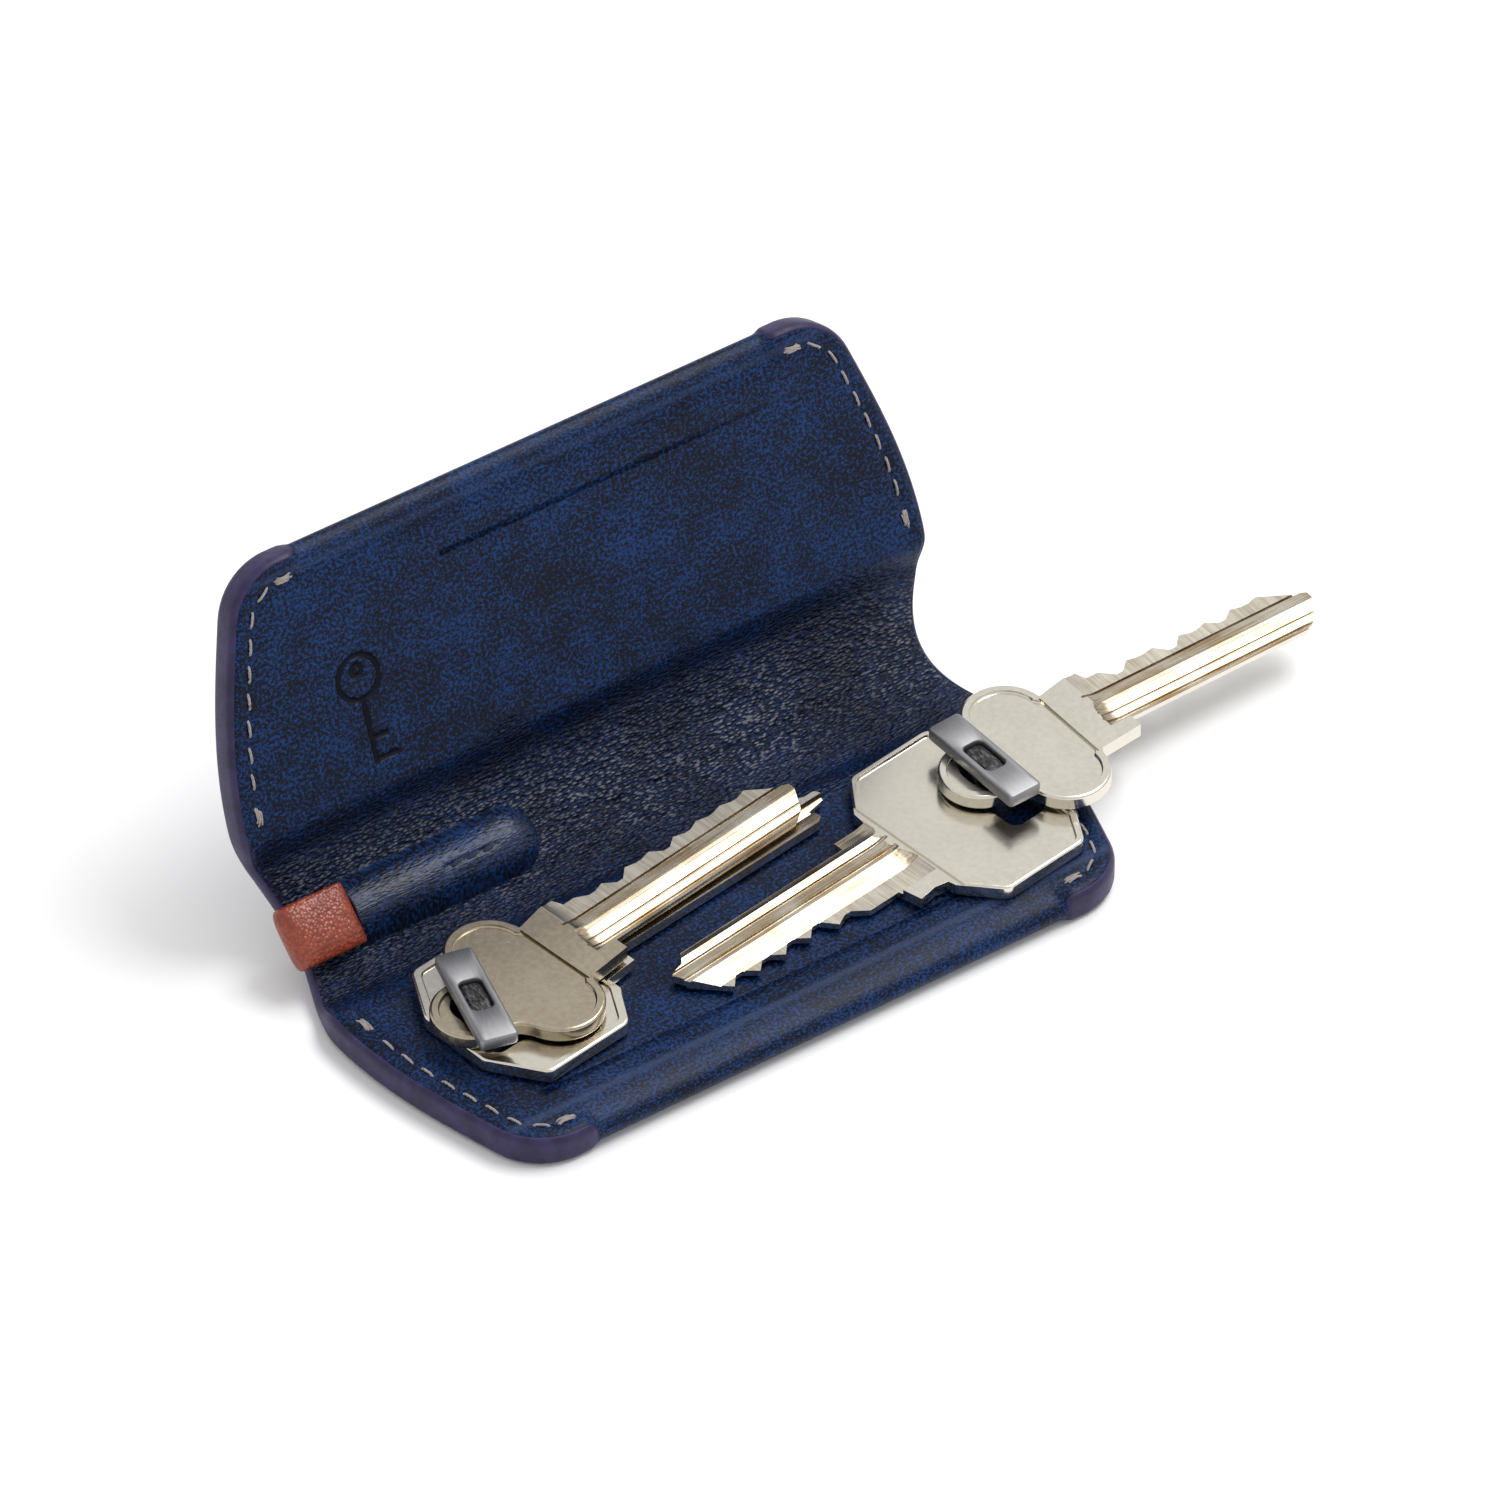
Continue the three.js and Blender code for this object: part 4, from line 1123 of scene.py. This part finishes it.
def build_key(name, key):
    side = -1 if name.startswith("left") else 1
    low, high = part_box(name)
    plating = key.get("plating", NICKEL)
    obj = piece(f"{name}_detailed", *plate(key_outline(key)), plating, smooth=False)
    tidy_mesh(obj, KEY_MERGE)
    end = max(x for x, _ in key["point"]) + 2
    cutters = face_cutters(key)
    step = key["step"]
    box = [(step, -20), (end, -20), (end, 20), (step, 20)]
    for sign in (1, -1):
        levels = sorted((sign * key["neck_z"], sign * CLEAR))
        cutters.append(loft([[(x, y, z) for x, y in box] for z in levels]))
    cutters.append(through_hole(rounded_rectangle(*key["hole"])))
    carve(obj, cutters, plating)
    top, mill_from = key["top"], key["mill_from"]
    grooves = [(top[1][0] + 0.1, top[1][1] + 0.01), *top[1:]]
    carve(obj, [groove_cutter(top[:2], mill_from, end, True)], CUT)
    carve(obj, [groove_cutter(grooves, mill_from, end, True),
                groove_cutter(key["under"], mill_from + 1.5, end, False)], DRAWN)
    obj.data.transform(Matrix.Scale(MM, 4))
    bevel = obj.modifiers.new("bevel", "BEVEL")
    bevel.width, bevel.segments, bevel.limit_method = KEY_BEVEL, 2, "ANGLE"
    bevel.angle_limit, bevel.use_clamp_overlap = KEY_BEVEL_ANGLE, True
    apply_modifiers(obj)
    obj.data.polygons.foreach_set("use_smooth", [True] * len(obj.data.polygons))
    obj.modifiers.new("flat faces", "WEIGHTED_NORMAL")
    apply_modifiers(obj)
    obj.matrix_world = (Matrix.Translation((side * STACK_X, STACK_Y, (low.z + high.z) / 2))
                        @ Matrix.Rotation(math.radians(key["turn"]), 4, "Z"))
    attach(obj, name)
    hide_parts(name)


def round_point(tip):
    return [(tip - 3.5, -2.3), (tip - 1.5, -1.1), (tip, 1.4), (tip, 2.4), (tip - 2.4, 3.7)]


STACK_X, STACK_Y, _ = (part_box("right_toggle")[0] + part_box("right_toggle")[1]) / 2
TREFOIL = {
    "bow": None, "edge_round": 0.38, "rim": 1.05, "sunk": 0.36, "neck_z": 0.92, "step": TREFOIL_FRONT - 0.05,
    "hole": (0, 0, 5.6, 6.4, 2.6), "neck_x": 13.35, "neck_low": -5.6, "neck_high": 6.3,
    "stop_x": 19.6, "stop_high": 7.4, "stop_low": -5.0, "blade_low": -2.3, "mill_from": 16.5,
    "top": [(8, 0.45), (3.3, 0.45), (3.2, 0.1), (2.9, 0.1), (2.8, 0.58), (1.5, 0.58), (1.4, 0.42),
            (0.9, 0.36), (0.8, 0.26), (-0.2, -0.02), (-0.25, -0.2), (-0.55, -0.2), (-0.6, 0.0),
            (-1.4, -0.2), (-1.45, -0.5), (-1.8, -0.5), (-1.9, -0.25), (-3, -0.25)],
    "under": [(-3, 1.1), (-1.9, 1.1), (-1.7, 0.75), (-1.0, 0.75), (-0.8, 1.1), (2.2, 1.1), (2.4, 0.6),
              (3.6, 0.6), (3.8, 0.85), (8, 0.85)],
}
KEYS = {
    # The upper left key takes the darker nickel: painted shade and reflection from the lid.
    "left_upper_key": {**TREFOIL, "plating": LID_SHADED_NICKEL, "turn": 9.5, "point": round_point(53.5),
                       "cuts": bitting(23.6, 3.9, 5.9, [0.9, 1.6, 0.7, 1.5, 1, 0.8, 0.9])},
    "right_upper_key": {**TREFOIL, "turn": 1.5, "point": round_point(50.5),
                        "cuts": bitting(23.6, 3.9, 5.9, [1.6, 0.6, 1.9, 0.9, 1.5, 0.8])},
    "left_lower_key": {
        "turn": 8.5, "hole": (0.4, -0.6, 5.4, 11, 1.2),
        "bow": {"rear": -4.2, "front": 16, "half": 12, "centre": -0.6,
                "rear_cut": (4.2, 7), "front_cut": (3.4, 5.2)},
        "edge_round": 0.3, "rim": 1.0, "sunk": 0.3, "neck_z": 0.7, "step": 15.4,
        "neck_x": 16, "neck_low": -5.4, "neck_high": 5, "stop_x": 20.5, "stop_high": 5.8, "stop_low": -5,
        "blade_low": -2.3, "cuts": bitting(26, 4.2, 5.2, [0.8, 1.7, 1.1, 2, 0.6, 1.4]), "mill_from": 17,
        "point": [(53, -2.3), (53.8, -1.8), (53.8, 0.2), (56.4, 0.6), (56.6, 1.4), (56.2, 2), (54.7, 2)],
        "top": [(8, 0.3), (3.0, 0.3), (2.8, 0.7), (1.2, 0.7), (1.0, 0.1), (-0.4, -0.1), (-0.6, 0.5),
                (-1.5, 0.62), (-4, 0.62)],
        "under": [(-4, 1.1), (-1.2, 1.1), (-1.0, 0.6), (0.6, 0.6), (0.8, 1.1), (8, 1.1)]},
    "right_lower_key": {
        "turn": 188.5, "hole": (0.4, 2.2, 5.4, 12.6, 1.2),
        "bow": {"rear": -4, "front": 15.2, "half": 13.6, "centre": 2.2,
                "rear_cut": (2.8, 4.2), "front_cut": (4, 5)},
        "edge_round": 0.3, "rim": 0.75, "sunk": 0.3, "neck_z": 0.75, "step": 14.5,
        "neck_x": 15.4, "neck_low": -4.6, "neck_high": 9.8, "stop_x": 20.2, "stop_high": 9.8,
        "stop_low": -4.6, "blade_low": -3.2, "mill_from": 14.4,
        "cuts": bitting(27.3, 4.1, 6.6, [1.5, 2.75, 2.7, 2.6, 2.8]),
        "point": [(46.6, -3.2), (47.8, -1.6), (49.7, -1.2), (50, -0.7), (49.2, 1.1)],
        "top": [(7.2, 0.1), (4.1, 0.1), (4.0, -0.1), (1.4, 0.52), (1.3, 0.3), (0.6, 0.3), (0.5, 0.55),
                (-0.7, 0.55), (-0.8, 0.2), (-1.2, 0.2), (-1.3, 0.45), (-2.2, 0.66), (-2.3, 0.5),
                (-3.0, 0.3), (-5, 0.3)],
        "under": [(-5, 1.1), (-0.9, 1.1), (-0.7, 0.55), (0.8, 0.55), (1.0, 1.1), (7.2, 1.1)]},
}


# ---- Toggles and cords ----
TOGGLE_LENGTH, TOGGLE_WIDTH, TOGGLE_THICKNESS = 16, 4.7, 1.7
WINDOW_LENGTH, WINDOW_WIDTH = 5.4, 2.9
CORD_WIDTH, CORD_THICKNESS = 4.2, 2.1


def toggle_loops():
    """Outer and inner edge loops of the bar, from its underside up, over the top and down the window."""
    top = TOGGLE_THICKNESS
    rings = []
    for inset, z in ((0.28, 0), (0.08, 0.08), (0, 0.28), (0, top - 0.32), (0.07, top - 0.1), (0.26, top)):
        width, length = TOGGLE_WIDTH - 2 * inset, TOGGLE_LENGTH - 2 * inset
        rings.append((width, length, 0.55 - inset * 0.8, z))
    for grow, z in ((0.2, top), (0.06, top - 0.06), (0, top - 0.22), (0, 0.22), (0.2, 0)):
        rings.append((WINDOW_WIDTH + 2 * grow, WINDOW_LENGTH + 2 * grow, 0.85 + grow, z))
    return loft([[(x * MM, y * MM, z * MM) for x, y in rounded_rectangle(0, 0, width, length, radius)]
                 for width, length, radius, z in rings], hollow=True)


CORD_SIDES, CORD_STEPS, DOME_STEPS = 72, 24, 20
CORD_FIT = 0.06                 # what the cord leaves free in the window, in millimetres


def weave(x, y):
    """Height of the braid of the elastic, in millimetres."""
    one, other = math.sin(7.5 * (x + y)), math.sin(7.5 * (x - y))
    return 0.05 * one * other + 0.02 * noise.noise(Vector((x * 6, y * 6, 0.5)))


def cord_mesh(bottom, top):
    """The elastic loop's two strands as one soft column with a domed, braided top. Millimetres."""
    def ring(scale, z, braid):
        swell = smoothstep(z, top - 1.6, top - 1.1)
        width = lerp(CORD_THICKNESS, WINDOW_WIDTH - CORD_FIT, swell)
        length = lerp(CORD_WIDTH, WINDOW_LENGTH - CORD_FIT, swell)
        points = []
        for i in range(CORD_SIDES):
            a = 2 * math.pi * i / CORD_SIDES
            x = squared(math.cos(a), 0.5) * width / 2 * scale
            y = squared(math.sin(a), 0.5) * length / 2 * scale
            ripple = 0.0 if braid else 0.03 * math.sin(9 * z + 6 * a)
            points.append((x * (1 + ripple) * MM, y * MM, (z + (weave(x, y) if braid else 0)) * MM))
        return points

    rings = [ring(0.96, bottom, False)]
    for i in range(CORD_STEPS + 1):
        rings.append(ring(1.0, lerp(bottom + 0.1, top - 0.5, i / CORD_STEPS), False))
    for i in range(1, DOME_STEPS):
        scale = math.cos(math.pi / 2 * i / DOME_STEPS) if i > 6 else 1 - 0.018 * i
        rings.append(ring(scale, top - 0.5 * scale ** 6, scale < 0.97))
    return loft(rings)


def build_stack(name, side, toggle_turn):
    low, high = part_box(f"{name}_toggle")
    turned = Matrix.Rotation(math.radians(toggle_turn), 4, "Z")
    toggle = piece(f"{name}_toggle_bar_detailed", *toggle_loops(), STEEL)
    tidy_mesh(toggle)
    toggle.data.set_sharp_from_angle(angle=math.radians(50))
    toggle.matrix_world = Matrix.Translation((side * STACK_X, STACK_Y, low.z)) @ turned
    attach(toggle, f"{name}_toggle_bar")
    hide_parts(f"{name}_toggle")
    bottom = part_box(f"{name}_cord")[0].z
    cord = piece(f"{name}_elastic_cord", *cord_mesh(bottom / MM, high.z / MM - 0.3), CORD)
    tidy_mesh(cord)
    cord.matrix_world = Matrix.Translation((side * STACK_X, STACK_Y, 0)) @ turned
    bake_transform(cord)
    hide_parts(f"{name}_cord")


# ---- Studio ----
FLOOR_HALF = 1.6
WORLD_STRENGTH = 0.78
SENSOR_WIDTH = 36


def area_light(name, location, target, size, power):
    light = bpy.data.lights.new(name, "AREA")
    light.shape, light.size, light.energy = "DISK", size, power
    obj = bpy.data.objects.new(name, light)
    bpy.context.scene.collection.objects.link(obj)
    obj.location = location
    obj.rotation_euler = (Vector(target) - Vector(location)).to_track_quat("-Z", "Y").to_euler()


def build_studio():
    n = Nodes("studio floor")
    n.finish(color=rgb(0.93, 0.93, 0.935), roughness=0.9, specular=0.1)
    verts = [(x * FLOOR_HALF, y * FLOOR_HALF, 0) for x, y in ((-1, -1), (1, -1), (1, 1), (-1, 1))]
    floor = piece("floor", verts, [[0, 1, 2, 3]], n.material, smooth=False)
    target = (0.0, 0.01, 0.01)
    area_light("overhead softbox", (0.36, -0.12, 0.78), target, 0.45, 3.6)
    area_light("rear softbox", (0.44, 0.24, 0.78), target, 0.36, 1.5)
    world = bpy.data.worlds.new("studio")
    world.use_nodes = True
    background = world.node_tree.nodes["Background"]
    background.inputs[0].default_value = rgb(1, 1, 1)
    background.inputs[1].default_value = WORLD_STRENGTH
    bpy.context.scene.world = world
    bpy.context.scene.view_settings.view_transform = "Standard"


AZIMUTH = math.radians(35.1)
ELEVATION = math.radians(41.5)
FOCAL_PER_WIDTH = 10.0                  # a long lens: focal length over the width that it sees
VIEW_WIDTH = 176.47 * MM                # across the picture, at the row's origin
ORIGIN_IN_PICTURE = (-0.0005, -0.1367)  # where the row's origin lies, from the middle, in picture widths


def build_camera():
    data = bpy.data.cameras.new("camera")
    data.sensor_width = SENSOR_WIDTH
    data.lens = SENSOR_WIDTH * FOCAL_PER_WIDTH
    data.clip_end = 20
    right = Vector((math.cos(AZIMUTH), -math.sin(AZIMUTH), 0))
    forward = Vector((math.sin(AZIMUTH) * math.cos(ELEVATION), math.cos(AZIMUTH) * math.cos(ELEVATION),
                      -math.sin(ELEVATION)))
    up = right.cross(forward)
    aside, above = (share * VIEW_WIDTH for share in ORIGIN_IN_PICTURE)
    eye = -forward * (FOCAL_PER_WIDTH * VIEW_WIDTH) - right * aside - up * above
    camera = bpy.data.objects.new("camera", data)
    bpy.context.scene.collection.objects.link(camera)
    camera.matrix_world = Matrix.Translation(eye) @ Matrix((right, up, -forward)).transposed().to_4x4()
    bpy.context.scene.camera = camera


def dress_carried_nodes():
    for body in ("base", "lid"):
        give(f"{body}_stiffener_board", BOARD)
        for side in ("left", "right"):
            give(f"{body}_{side}_magnet", MAGNET)
    for side in ("left", "right"):
        give(f"{side}_cord_anchor", STEEL)
    give("tab_webbing", WEBBING)


BOARD = fibre_board()
WEBBING = webbing()
build_camera()
build_studio()
dress_carried_nodes()
build_tunnel(*build_cover())
build_pull_tab()
for key_name, key_facts in KEYS.items():
    build_key(key_name, key_facts)
build_stack("left", -1, -14)
build_stack("right", 1, 2.5)
